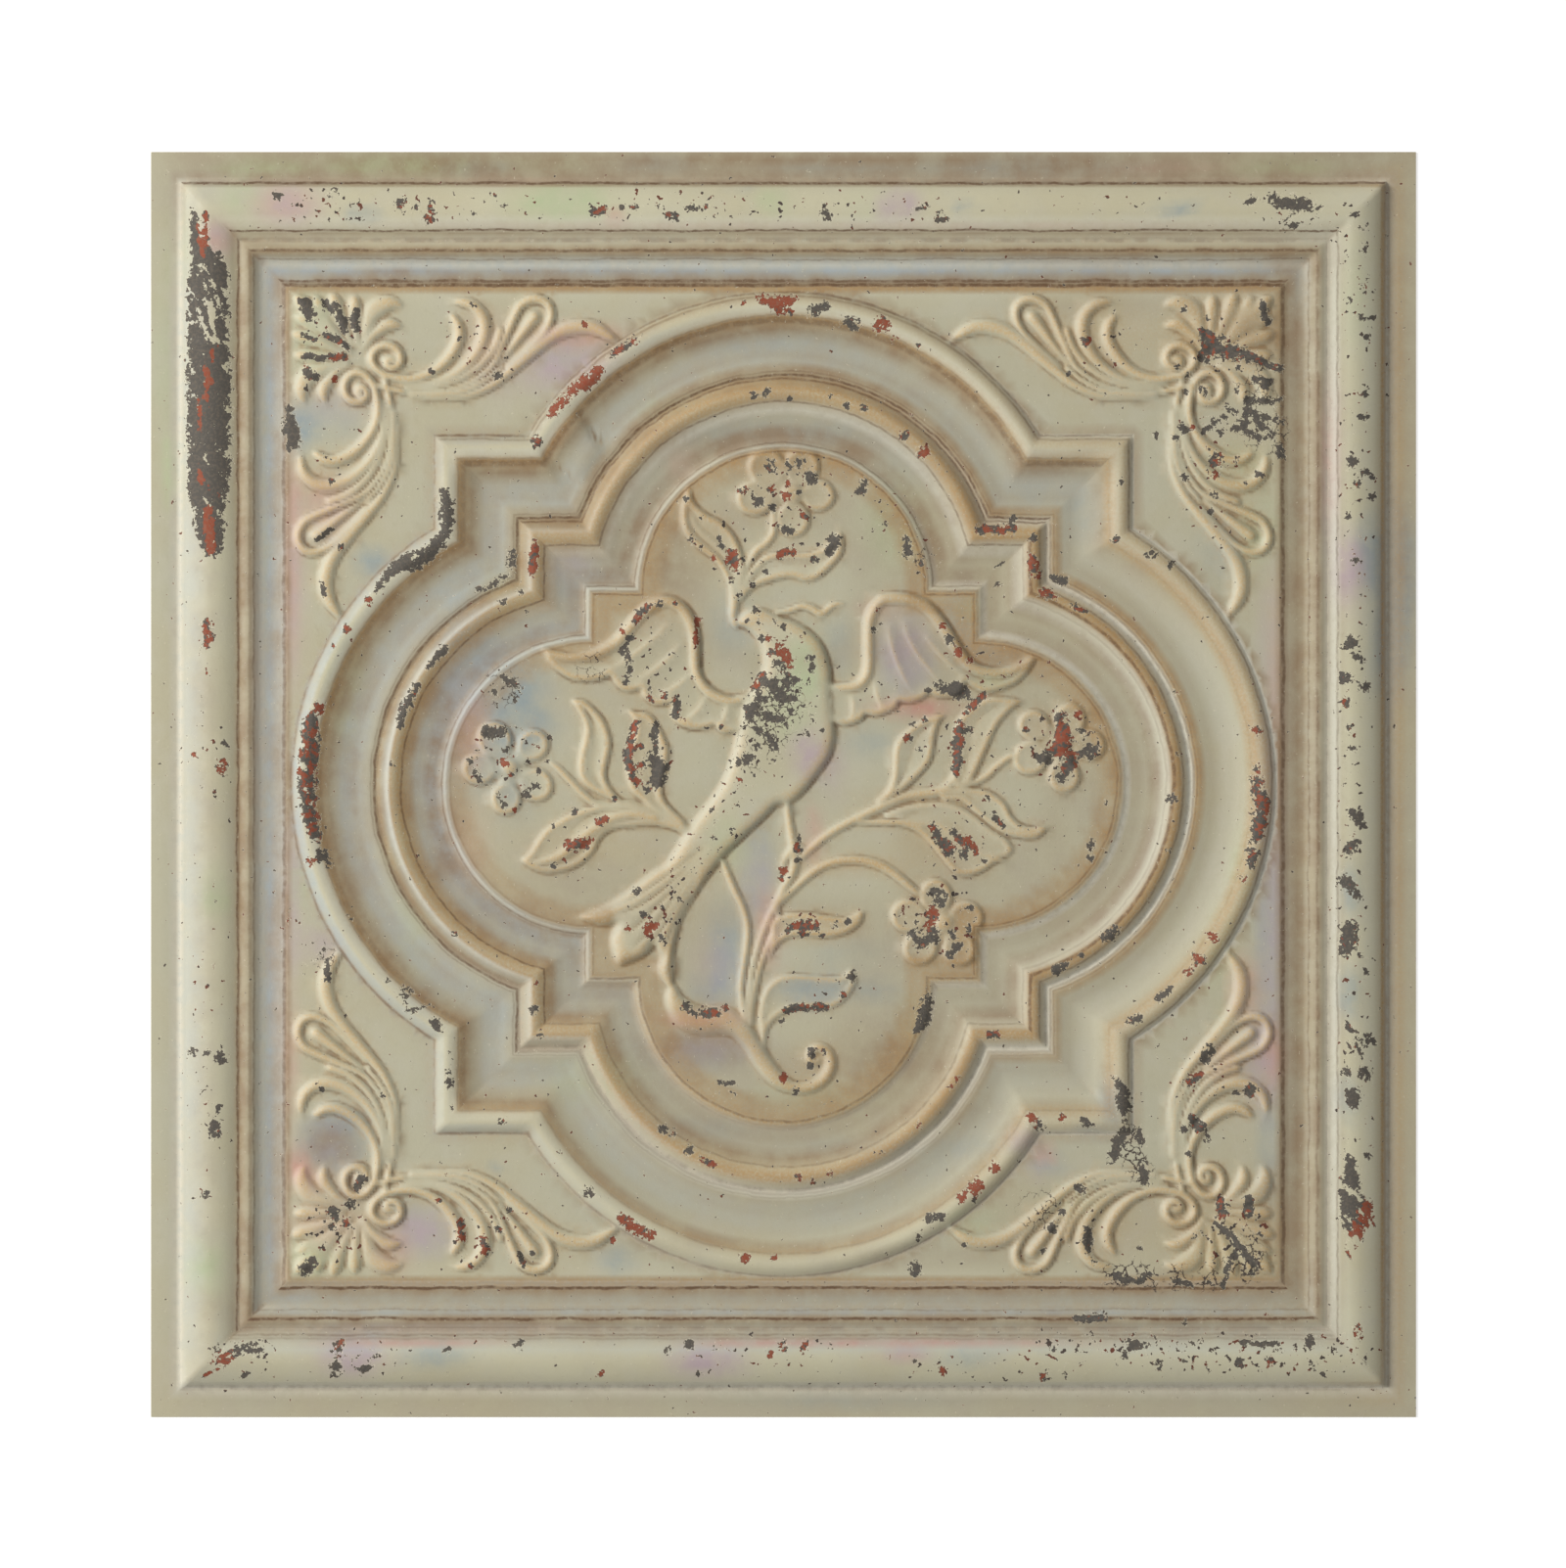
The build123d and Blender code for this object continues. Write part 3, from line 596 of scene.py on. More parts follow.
# Where the paint has chipped, by its share of red primer: curves of x, y and half width, in millimetres.
# 0 shows the dark undercoat, 1 the red primer, and what is between shows both in patches.
FRAME_CHIPS = {
    0: [
        (-270, 246, 6, -270, 238, 9, -270, 220, 9.4, -270, 190, 9.6, -270, 165, 9.6, -270, 145, 9.2,
         -270, 134, 8, -269, 120, 5.6, -268, 110, 3.4),
        (-278, -126, 2.1), (-264, -128, 2.3), (-270, -126, 1.2), (-265, -152, 1.5), (-252, -277, 1.5),
        (-210, -274, 2.6), (-198, -274.5, 1.6, -194, -273, 1.4), (-124, -263, 1.9), (-54, -266, 1.5),
        (-44, -263, 1.9), (-40, -276, 1.4), (163, -263, 1.8, 169, -262.5, 1.8), (160, -268, 1.2),
        (176, -272, 1.6), (192, -261, 1.3), (189, -271, 1.4), (216, -261.5, 1.4, 232, -261.5, 0.9),
        (248, -272, 1.6), (247, -262, 2.8), (253, -276, 1.4), (258, -264, 1.2), (-237, 276, 2), (219, 274, 2),
        (228, 275, 1.9, 235, 273, 2.6, 246, 272, 2.4), (251, 270, 1.4),
        (236.5, 263.5, 1.4, 240.5, 261.5, 1.3), (268, 268, 1.9), (268, -145, 2.4, 267, -150, 2.2),
        (265, -176, 2, 267, -183, 2.8, 266, -191, 4, 266, -200, 3.8, 266, -207, 2.6),
        (-232, 177, 1.4, -232, 168, 2.6, -230, 162, 2.8, -232, 157, 1.2), (189, -252, 1.4),
    ],
    0.1: [
        (-276.5, 269, 0.9, -276.5, 256, 1.2, -276, 246, 2), (-262, 19, 1.2), (-266, -264, 1.3),
        (-249, -264, 2.2, -246, -266, 2), (-191, -267, 1.4), (-158, -266, 1.4), (62, -271, 1.2),
        (127, -264, 1.7), (214, -271, 1.9), (272, -271, 1.4), (-214, 278, 1.2, -210, 278.5, 1.3),
        (20, 267, 2.2), (272, 262, 1.3), (272, 255, 0.9, 272.5, 249, 0.9), (265, 227, 1.4), (274, 210, 1.5),
        (270, 173, 1.3), (273, 172, 1.2), (267, 151, 2.4), (272, 147, 1.4, 276, 145, 1.4), (276, 135, 1.7),
        (265, 126, 1.2), (268, 60, 1.4, 272, 58.5, 1.2), (264, 50, 2.4), (273, 46, 2.2), (267, 17, 1.2),
        (269, -14, 2.5, 272, -19, 1.7), (264, -12, 1.2), (264, -46, 3), (269, -52, 2), (272, -80, 1.2),
        (274, -88, 1.6), (274, -120, 2.6), (270, -126, 1.6), (264, -135, 1.8), (273, -135, 2.8),
        (274, -174, 1.8),
    ],
    0.2: [
        (-267, -160, 2, -267, -164, 2), (-270, -192, 1.6), (-32, -264, 1.2), (18, 270, 1.3), (273, 184, 1.5),
        (268, 105, 1.4), (267, 67, 2.6, 264, 64, 1.4), (266, 26, 1.7),
        (269.5, -26, 1.2, 266, -30, 2, 263.5, -34, 1.2), (266, -68, 3.4, 264, -78, 2.6), (269, -117, 1.2),
        (138, -251, 1.6, 150, -250, 1.6),
    ],
    0.3: [
        (-256, -266, 2.3), (132, -277, 1.2), (-172, 271, 1.2), (-136, 277, 1.2), (-145, 268, 1.2),
        (-71, 271.5, 1, -66, 272, 1), (62, 271.5, 1, 67, 271.5, 1.1), (270, 220, 1.2, 277, 218.5, 1),
        (269, 141, 1.7), (265, -114, 1.6),
    ],
    0.4: [
        (-179, 273, 2.2), (-165, 272, 1.6), (-76, 271, 1.2), (-54, 267, 1.6, -50, 266, 1.4),
        (-46, 270, 1, -41, 271, 1), (-36, 271, 1.2), (266, -122, 1.7),
    ],
    0.5: [
        (-209, -264, 2.5), (122, -278, 1.8), (-166, 266, 2.2), (-89, 269, 1.6, -84, 269.5, 1.8),
        (-59, 272, 1.2), (72.5, 266.5, 1.5, 76.5, 265, 1.5), (264, 39, 2),
    ],
    0.6: [
        (-270, 75, 2.2, -270, 68, 1.8, -272, 64, 1), (0, -263, 1.7), (10, -263, 1.7), (228, -271, 2),
        (272.5, 234.5, 1.1, 272.5, 231.5, 1.1),
    ],
    0.7: [(-271, 53, 1.2), (274, -198, 2.8)],
    0.8: [(-264, -270, 3), (-270, -277, 1.2), (269, -257, 2.2), (271, -205, 4.4, 267, -213, 2.6)],
    0.85: [(-271, 267, 1.2, -272, 256, 2, -274, 250, 2.4)],
    0.9: [
        (-276, 14, 1.3), (-263.5, 10, 1.8, -263.5, 6.5, 1.8), (-86, -276, 1.5), (-6, -267, 1.3),
        (74, -275, 1.6), (265, -220, 1.3),
    ],
}
CORNER_CHIPS = {
    0: [
        (-224, 226, 3.2, -222, 220, 2.4), (-215.5, 227, 1.2, -211.5, 222, 1.8),
        (-210, 225, 1.4, -207, 218, 2, -206, 212, 1.4), (217.5, 181, 1.5, 217.5, 171, 1.8, 211.5, 167, 1.4),
        (217.5, 180, 1.4, 223, 181, 1.5, 230, 179, 1.4, 234, 181, 1.4),
        (217.5, 172.5, 1.5, 223, 173.5, 1.4, 231, 171.5, 1.4, 234, 170.5, 1.4),
        (214, 168.5, 1.4, 224.5, 161.5, 1.3), (229, 163, 1.4), (233.5, 159.5, 1.4, 233.5, 154, 1.4),
        (206, 172, 1.8, 200, 168, 1.5, 197, 166, 1.3), (205, 165, 1.5), (213, 185, 1.5), (226, 187, 1.6),
        (214, 196, 1.4), (208, 178, 1.3, 212, 174, 1.3), (221, 190, 1.2, 229, 189, 1.2),
        (219, 176, 1.3, 226, 167, 1.3, 231, 166, 1.2), (190, 192, 1.7), (185, 196, 1.2),
        (-213.5, -82, 1.2, -214.5, -92, 1.4), (-215, -77, 1.2, -219, -82, 1), (167, -217, 1.4),
        (62, -227, 2.6, 62, -231, 1.6), (203, -206, 1.2, 210, -212, 1.8, 215, -218, 1.6, 222, -226, 1.6),
        (212, -220, 1.6, 208, -228, 1.4, 206, -236, 1.2), (193, -212, 1.4), (224, -211, 1.2),
        (131, -201, 1.6), (126, -208, 2.2), (156, -231, 2, 165, -233, 1.8, 172, -230, 1.4),
        (183, -233, 1.2, 192, -235, 1), (200, -233, 1.4), (220, -230, 1.2),
    ],
    0.1: [
        (-225, 201, 1.2, -216, 200.5, 1.6), (-146, 225, 1.6), (-134, 192, 2),
        (-219, 115, 1, -211.5, 120.5, 1.1), (-217, 95, 1, -215.5, 89, 1.1), (225, 225.5, 1.6, 226.5, 218, 2),
        (206, 210, 1.4), (197, 185, 2.2), (189, 184, 1.2), (188, 223, 1.4), (199, 219, 1.2), (188, 167, 2.2),
        (184, 163, 1.4), (223, 145, 2), (217, 142, 1.2), (188, 144, 2), (202, 136, 1.6), (200, 128, 1.6),
        (175, 164, 1.3), (-217, -143, 1.4), (-224, -227, 3, -221, -224, 2.4), (-118, -220, 1.2),
        (200, -125, 2.6, 198, -129, 2), (199, -167, 1.6), (139, -190, 2.4), (143, -209, 2, 143, -218, 1.8),
        (146, -224, 1.4), (122, -219, 1.4), (85, -216, 1.2),
    ],
    0.15: [(-200.5, 222, 1.8, -201, 215, 2)],
    0.2: [
        (-226, 211, 1.2, -220, 209, 1), (-224, 186, 1.4), (-152, 209, 1.2), (-212, 142, 1.5),
        (-208, 112, 1.5), (212, 152, 1.4), (-203, -197, 2.2), (-212, -207, 2), (188, -162, 1.8),
        (190, -173, 1.4),
    ],
    0.3: [
        (-216, 212, 1.2, -210, 209, 1.5, -205, 206, 1.6), (-224, 194, 2.2, -220, 191, 1.8), (-165, 194, 1.2),
        (155, 222, 1.2), (204, 205, 2.6, 213, 202, 3.2, 219, 201, 2.6, 226, 198, 1.6, 234, 195, 1.6),
        (-188, -146, 1.2), (-198, -185, 2, -200, -190, 1.6), (-211, -202, 3), (-128, -200, 1.6),
        (212, -144, 1.8), (219, -144, 3), (192, -157, 2, 196, -161, 2.4), (218, -195, 2, 219, -202, 1.8),
    ],
    0.35: [(197, 213, 1.8, 200, 209, 3.8, 199, 203, 4, 196, 200, 1.8)],
    0.4: [
        (142, 208, 2.2), (134, 193, 1.2), (203, 152, 3.2), (-134, -209, 1.6),
        (-124, -221, 1.4, -122, -226, 1.2), (205, -194, 1.6, 206, -202, 2.4),
    ],
    0.5: [
        (-213, 200.5, 1.6, -206, 201, 1.8), (-205, -206, 1.8), (-141, -213, 1.6, -139.5, -220, 1.8),
        (-147, -226, 1.4), (195, -137, 2, 190, -140, 1.4),
    ],
    0.6: [(-162, -195, 1.2), (-152, -205, 1.8, -151, -213, 1.6)],
    0.7: [(203, 145, 1.8)],
    0.8: [(-211, 190, 1.6), (-93, 216, 1.4), (-232, -64, 1.2), (-80, -214, 1.4)],
    0.9: [(192, 168, 1.4)],
}
MOULDING_CHIPS = {
    0: [
        (-158, 136, 2.8, -158, 127, 3.4, -158, 119, 2.8), (-225, -10, 2, -224, 4, 1.6),
        (-217, -33, 2.5, -213, -38, 1.6), (-178, -98, 2.9), (-175, -106, 2),
        (-164, -111, 2.1, -160, -116, 1.4), (-156, -140, 2.5), (-155, -152, 1.5), (-92, -191, 2.7),
        (48, -220, 1.2), (157, -140, 2.6, 160, -146, 3.2, 160, -154, 2.6),
        (160, -162, 2.3, 157, -170, 3.1, 154, -177, 1.4), (166, -162, 2, 168.5, -168, 1.8),
        (168, -178, 1.8, 170, -187, 2.5), (132, 95, 2.3, 126, 98, 1), (-127, 109, 1.5, -128, 101, 1.6),
        (-129, 98.5, 1.2, -139, 92, 1.1, -144, 91, 0.9), (-132, 86, 1.9), (-124, 90, 1.5),
        (152, -72, 2.8, 156, -68, 2), (68, -101, 2.7, 66, -110, 3.1, 62, -116, 1.4), (144, -28, 2.4),
        (144, -35, 1.7), (-30, -140.5, 1, -22.5, -140, 1.3), (-24, -146, 1.2), (-31, -146, 1.2),
    ],
    0.05: [
        (-160, 115, 2.6, -167, 108, 3.9, -176, 104, 4, -184, 100, 2.4, -191, 91, 1.6),
        (-160, 63, 2.3, -167, 55, 1.1),
    ],
    0.1: [
        (14, 222, 2.8, 20, 225, 1.8), (-186, -92, 1.4), (-168, -104, 1.6), (-157, -126, 1.2),
        (-157, -134, 1.8), (64, -212, 1.9), (68, -204, 2.4, 76, -203, 1.5), (90, -195, 1.9),
        (141, -158, 1.7, 145.5, -161, 1.2), (173, 108, 2.4), (182, 103, 1.9), (158, 142, 1.6),
        (156, 115, 1.7), (108, 125, 1.7), (30, 178, 1.9), (3, 181, 1.2), (-8, 184, 2), (-184, 10, 1.2),
        (-117, -106, 1.9), (-114, -118, 1.4), (-57, -162, 2.1), (-44, -172, 2.1),
        (128, -87.5, 2, 132.5, -84.5, 1.5), (140, -80, 1.4), (180, -31, 1.4), (36, 138, 2.4), (48, 122, 1.4),
        (58, 116, 1.2, 58, 108, 2.1), (64, 104, 1.6), (101, 103, 1.2), (101, 94, 1.4), (152, -8, 1.2),
    ],
    0.2: [
        (28, 218, 1.8, 34, 216, 2.4), (-203, -62, 1.4), (166, -110, 2.4, 162, -112, 1.4),
        (177, -100, 1.9, 182, -95.5, 1.2), (22, 182, 1.2), (38, 177, 1.5), (-14, 183, 1.7),
        (-172, 47, 1.7, -177, 37, 2.3, -180, 28, 1.7), (-154, -70, 1.3), (182, -6, 2.4), (38, 142, 1.9),
    ],
    0.3: [(63, 206, 1.2), (120, -160, 2.7), (220, -32, 2.9, 219, -38, 2), (117, 116, 1.9), (-176, -44, 1.2)],
    0.4: [
        (-116, 161, 2.6), (-211, 65, 1.2), (-132, -158, 1.6), (222, 8, 1.9), (137, 83.5, 1.8, 141, 81, 1.2),
        (57, 164, 2.1), (-52, -164, 1.5), (46, -173, 1.2), (97, -117, 2.3, 101, -118, 1.5), (186, 14, 1.4),
        (184, 43, 1.4),
    ],
    0.45: [(222, 2, 2.8, 224, -7, 3.3, 224, -16, 3.5, 222, -24, 2.8)],
    0.48: [
        (-222, 30, 3.6, -222, 21, 4.2, -223, 12, 4.6, -224, 3, 4.4, -223, -5, 4, -222, -14, 3.6,
         -220, -24, 2.6),
    ],
    0.5: [
        (-80, 202, 1.4, -74, 206, 2, -69, 208.5, 1.4), (-105, -172, 1.2), (216, -44, 1.6),
        (92, 120, 2, 100, 119, 2.5, 108, 120, 2), (14, -186, 1.7),
    ],
    0.6: [
        (-3, 222, 1.8, 3, 222, 1.8), (-205, 73, 1.9), (-218, 36, 2.8), (131, -156, 1.7), (195, -82, 2.9),
        (222, 26, 2.3), (116, 108, 1.6, 118, 99, 2.5), (121, 91, 2.3, 127, 88, 1.9),
        (-117, 115, 1.2, -117, 107, 2.1, -118, 99, 1.5), (-38, -176.5, 1.9, -33.5, -178.5, 1.8),
    ],
    0.7: [
        (-19, 226, 1.2), (-195, 86, 2.1), (190, -88, 1.9), (-116, -93, 1.3), (7, -184, 1.9), (22, -182, 1.8),
        (79, -142, 1.5),
    ],
    0.75: [(-77, -203, 1.9, -70, -208, 2.8, -62, -212, 2.3)],
    0.8: [(46, 216, 3.6), (202, -72, 2.5), (66, 156, 3.1), (64, -160, 1.8), (82, -138, 1.5)],
    0.9: [
        (-10, 228, 2.6, -3, 226, 2.8, 4, 227, 2.4), (52, 209, 1.6), (-222, -36, 2.4), (-18, -222, 2.3),
        (-4, -222, 1.6), (116, -157, 2.5),
    ],
    1: [
        (-98, 186, 2.4, -92, 190, 4, -86, 194, 2.4), (-108, 175, 2.4, -102, 181, 2.6), (84, -194, 2.1),
        (90, -189, 3.7), (99, -180, 2.4),
    ],
}
# Streaks of red primer inside the large chip on the frame's left side
RED_STREAKS = [
    (-266.5, 206, 0.9, -269.5, 197, 1.3, -271.5, 187, 1.6),
    (-268, 190, 0.8, -272.5, 178, 1.3, -274.5, 166, 1), (-275, 150, 1.1, -272, 140, 1.3), (-266, 136, 1.6),
    (-270, 130, 1.8, -269.5, 120, 2.8, -268, 110, 2.4),
]
# Cream paint left standing inside the large chips
CREAM_ISLANDS = [
    (-272, 242, 1.7), (-267.5, 236, 1.9), (-276, 230, 1.5), (-263, 232, 1.4, -265, 226, 1.4),
    (-271, 233, 1.1), (-269, 226, 1.9, -268, 217, 1.8, -270, 212, 1.2), (-273, 222, 1.3, -275, 216, 1.2),
    (-270, 209, 1.3, -263, 208, 1.5), (-279, 206, 1.6), (-262.5, 218, 1.6), (-277, 194, 1.3),
    (-262, 196, 1.3), (-278, 183, 1.2), (-269.5, 171, 1.2), (-262, 178, 1.2), (-263, 156, 1.6),
    (-277, 160, 1.3), (-266.5, 147, 1.2), (-271, 152, 1.1), (-264, 128, 1.4), (-276, 126, 1.4),
    (-271, 133, 1), (-267, 252, 2.6), (267, -212, 2.2, 263, -214, 1.6), (270, -200, 1.3), (264, -204, 1.4),
    (268, -192, 1.2, 263, -189, 1.2), (272, -208, 1), (-219, 24, 1.6), (-225, 8, 1.5), (-219, 4, 1.6),
    (-226, 18, 1.4), (-220, -10, 1.6), (-224, -2, 1), (-173, 106, 1), (-1, 46, 1.4), (-6, 39, 1.3),
    (4, 52, 1.2), (220, -10, 1.6), (225, -2, 1.4), (-92, 191, 1.2),
]
BRANCH_CHIPS = {
    0: [
        (-136, 44, 1.7), (-124, 45, 1.4), (-126, 40, 1.2), (-117, -1, 1.6), (-121, -5, 1.8), (-147, 11, 1.4),
        (-143, 2, 1.4), (-61, 12, 2.6, -58, 7, 3.6, -59, 1, 2.8), (-14, 94, 1.2), (13, 144, 2.4),
        (12, -132, 1.6),
    ],
    0.1: [
        (-130, 16, 1.2), (-115, 6, 1.4), (-133, -5, 1.2), (-131, -10, 1.2), (-144, 6, 1.6),
        (-60, 28, 1.4, -60.5, 21, 1.6, -59, 15, 1.2), (-46, 134, 1.2), (-8, 100, 1.4),
        (24, 114, 3, 22, 110, 2.2), (8, 151, 2), (7, 137, 1.2), (124, 12, 3, 120, 13, 1.8), (130, 3, 2.2),
        (143, 15, 3, 147, 17, 1.6), (80, -22, 1.6), (70, -50, 2, 77, -52, 1.2), (73, -56, 2.2),
        (82, -75, 1.6, 78, -80, 1.8), (79, -70, 1.6), (30, -64, 1.4), (32, -90, 2.2), (-1, -111, 1.2),
        (6, -144, 1.6), (13, -126, 2.2), (20, -125, 1.2),
    ],
    0.15: [(-139, 25, 3, -133, 25, 2.4)],
    0.2: [
        (-132, 51, 1, -128, 48, 2.2), (-110, 22, 1.2), (-79, -7, 1.2), (-67, 18, 1.2), (-108, -20, 1.2),
        (-108, -38, 1.4), (-29, 112, 1.4), (-19, 106, 1.2), (-20, 89, 1.2), (15, 106, 1.6), (2, 150, 1.8),
        (-12, 133, 2.4), (-5, 130, 1.6), (3, 119, 2, -1, 121, 1.4), (61, 28, 1.2), (64, 16, 1.4),
        (88, 26, 1.2), (140, 25, 1.4), (96, -6, 1.2), (84, -33, 2), (88, -58, 1.4), (87, -68, 1.6),
        (60, -70, 2.2), (63, -64, 1.4), (18, -71, 1.2), (-46, -104, 2.2),
    ],
    0.3: [
        (-64, -2, 1.6), (-98, -13, 1.4), (-43, 115, 1.6), (-30, 116, 1.2), (-24, 96, 1.4), (-11, 104, 1.2),
        (-6, 150, 2.2), (7, -25, 1.4), (7, -36, 1.4), (66, 30, 1.4), (99, -14.5, 1.4, 103, -20, 1.2),
        (94, -36, 1.4), (70, -71, 3, 63, -75, 1.6), (24, -66, 1.6), (-42, -108, 1.2),
    ],
    0.4: [
        (-128, 5, 1.2), (-66, 9, 1.4), (-103, -36, 1.2), (7, -30, 2), (136, 13, 2.8, 133, 7, 2.8),
        (130, 32, 2.2), (70, -20, 1.6, 73, -25, 2, 78, -31, 2.6), (9, -70, 2),
        (20, -104.5, 1.6, 10, -104.5, 1.6, 1, -106, 1.4), (28, -99, 1.4), (-36, -107, 2.4, -31, -107, 1.8),
    ],
    0.45: [(83, 28, 2, 82, 20, 2.2, 82, 12, 2.4, 81, 5, 1.6)],
    0.5: [
        (-69, 29, 1.6, -71, 22, 1.8, -72.5, 14, 2, -71.5, 6, 1.8, -68, 0, 1.4), (-19, 138, 2), (10, 126, 1.8),
        (58, 22, 2), (94, 42, 1.6, 90, 38, 1.6, 86, 34, 1.6), (114, 26, 1.4),
        (3, -68, 1.8, 9, -66, 2.6, 15, -66, 1.8), (-27, -105, 1.4),
    ],
    0.6: [
        (-116, 18, 1.4), (-87, -18, 2), (-101, -28, 2, -95, -28, 2.6, -91, -26, 1.6),
        (-24, 107, 3, -23, 103, 2.2), (-1, 108, 1.8, 5, 109, 1.2), (-6, 139, 1.8),
        (131, 27, 2.8, 131, 21, 4, 128, 15, 3), (84, -26, 2.6, 90, -31, 1.8),
    ],
    0.7: [(-83, -16, 1.4), (-33, 106, 1.2), (70, -60, 2.8, 68, -66, 2)],
    0.8: [(-126, -12, 1.2), (1, 135, 2.2), (0, -40, 1.6, -1, -44, 1.2), (138, 33, 1.6), (0, -138, 1.8)],
    0.9: [(-131, 10, 1.8), (2, 142, 1.4)],
}
BIRD_CHIPS = {
    0: [
        (-2, 57, 3), (-9, 49, 3, -3, 46, 3.4, 4, 50, 2.6), (-2, 40, 3.2, 5, 42, 2.4),
        (-8, 32, 2.6, -1, 31, 2.6), (-17, 28, 1.6), (-12, 25, 2.2), (-6, 22, 2.4, -4, 17, 1.8), (4, 27, 1.8),
        (-4, 11, 1.4), (-12, 17, 2), (3, 34, 1.8),
    ],
    0.1: [
        (-72, 69, 1.8, -76, 62, 1.4), (-73, 61, 1.4, -72, 53, 1.6, -74, 48, 1.4), (-62, 45, 1.6),
        (-10, 41, 2.6, -14, 36, 2.2), (-15, 30, 2.2, -18, 36, 1.4), (-20, 11, 2.6, -16, 13, 2), (14, 54, 1.8),
        (10, 36, 1.6), (11, 24, 1.8), (14, 31, 1.4), (17, 42, 1.2), (6, 20, 1.2), (-14, 4, 1.2),
        (-34, -12, 1.4), (-24, -20, 1.2), (-33, -25, 1.2), (-66, -61, 1.6), (-57, -72, 1.8), (-53, -64, 1.6),
        (-49, -54, 1.4), (-56, -57, 1.4), (42, 73, 1.8), (78, 68, 2.2),
        (72, 47, 1.8, 78, 44, 2.6, 85, 43, 2.8, 80, 48, 1.4),
    ],
    0.2: [
        (-58, 85, 2), (-14, 82, 1.8), (0, 74, 1.2), (8, 48, 1.6), (13, 59, 2), (18, 25, 1.4), (-69, -50, 2),
        (68, 44, 1.4),
    ],
    0.3: [
        (-50, 39, 2.4, -51, 33, 2), (-29, 27, 1.2), (-11, 76, 1.6), (-10, 69, 1.8), (-17, 77, 1.2),
        (-4, 77, 1.2), (-6, 62, 1.6),
    ],
    0.4: [(-42, 50, 1.2), (-36, 27, 1.2), (4, 70, 1.2)],
    0.5: [(-64, 84, 1.6, -70, 77, 1.8), (-13, 46, 2, -9, 52, 1.6), (44, 82, 1.2)],
    0.6: [(-56, 42, 2), (-51, 85, 1.2)],
    0.7: [(-62, 40, 2), (-73, -68, 1.4)],
    0.8: [
        (-40.5, 78, 1.4, -41, 66, 1.2), (-21, 2, 1.4), (-64, -68, 2.8, -61, -66, 2), (82, 62, 2),
        (88, 58, 1.8),
    ],
    0.9: [(-76, 72, 1.4), (-6, 69, 1.8), (-1, 62, 3.6, 3, 56, 2.4), (75, 74, 1.8)],
}
# The chips of each part, and how much their edges are held back there: below 0 they are fuller
CHIP_TABLES = (
    (FRAME_CHIPS, -0.12),
    (CORNER_CHIPS, -0.04),
    (MOULDING_CHIPS, 0),
    (BRANCH_CHIPS, -0.08),
    (BIRD_CHIPS, 0.02),
)
# Where fine chips are scattered: how thickly, then x, y and half width along a curve
FINE_CHIPS = [
    (0.75, -222, 272, 9, -195, 271, 6), (0.5, -178, 272, 9, -120, 272, 6), (0.6, -86, 272, 8, -5, 270, 8),
    (0.5, 14, 271, 7, 80, 268, 7), (0.5, 228, 270, 9, 262, 262, 8), (0.35, 140, 270, 7, 180, 270, 7),
    (0.45, 268, 268, 8, 268, 200, 8, 268, 130, 8, 268, 60, 8, 267, 0, 8, 266, -60, 8, 267, -140, 9,
     268, -180, 9),
    (0.8, 120, -264, 8, 180, -266, 9, 240, -268, 10, 272, -262, 8), (0.5, 60, -272, 8, 130, -275, 7),
    (0.5, -262, -265, 10, -240, -268, 8), (0.5, -205, -268, 10, -185, -272, 8),
    (0.35, -50, -268, 9, 20, -268, 8), (0.5, -272, 24, 8, -266, -5, 7), (0.45, -272, -85, 7, -270, -110, 6),
    (0.45, -276, -140, 9, -268, -165, 8), (0.5, -270, -192, 7), (0.4, -270, 60, 5), (0.6, -210, 212, 16),
    (0.45, -150, 215, 12, -135, 195, 10), (0.7, -210, -210, 16), (0.5, -150, -212, 12, -130, -205, 10),
    (0.7, 205, 205, 14), (0.75, 212, -212, 18), (0.5, 140, -205, 14), (0.5, 196, -140, 14),
    (0.6, 200, 160, 16), (0.4, -205, 160, 16), (0.4, 200, 120, 14), (0.5, 150, 205, 14),
    (0.45, -228, -60, 6, -226, -85, 6), (0.55, -130, 10, 20), (0.5, -64, 14, 14), (0.5, 3, 137, 20),
    (0.45, -30, 115, 16, -18, 92, 8), (0.4, 10, 106, 12), (0.75, 132, 20, 20), (0.7, 72, -64, 20),
    (0.4, 85, 20, 16), (0.45, 80, -30, 18), (0.4, 66, 24, 12), (0.4, 60, 0, 10, 115, -20, 10),
    (0.6, 2, 62, 15, -4, 30, 18, -16, 8, 14), (0.5, -14, 78, 8), (0.5, -28, -14, 14, -45, -40, 12),
    (0.8, -46, -42, 6, -54, -56, 9, -58, -68, 9), (0.5, -66, 70, 12, -50, 40, 12), (0.5, -42, 62, 6),
    (0.5, 78, 66, 10, 96, 50, 10), (0.4, 50, 40, 12), (0.45, -36, -108, 12), (0.4, 8, -67, 12),
    (0.4, 20, -98, 12), (0.35, -96, -30, 14), (0.45, 14, -130, 10), (0.5, 50, 125, 14, 66, 108, 10),
    (0.2, -130, 46, 12), (0.4, 146, -30, 10), (0.4, 65, -110, 8),
]
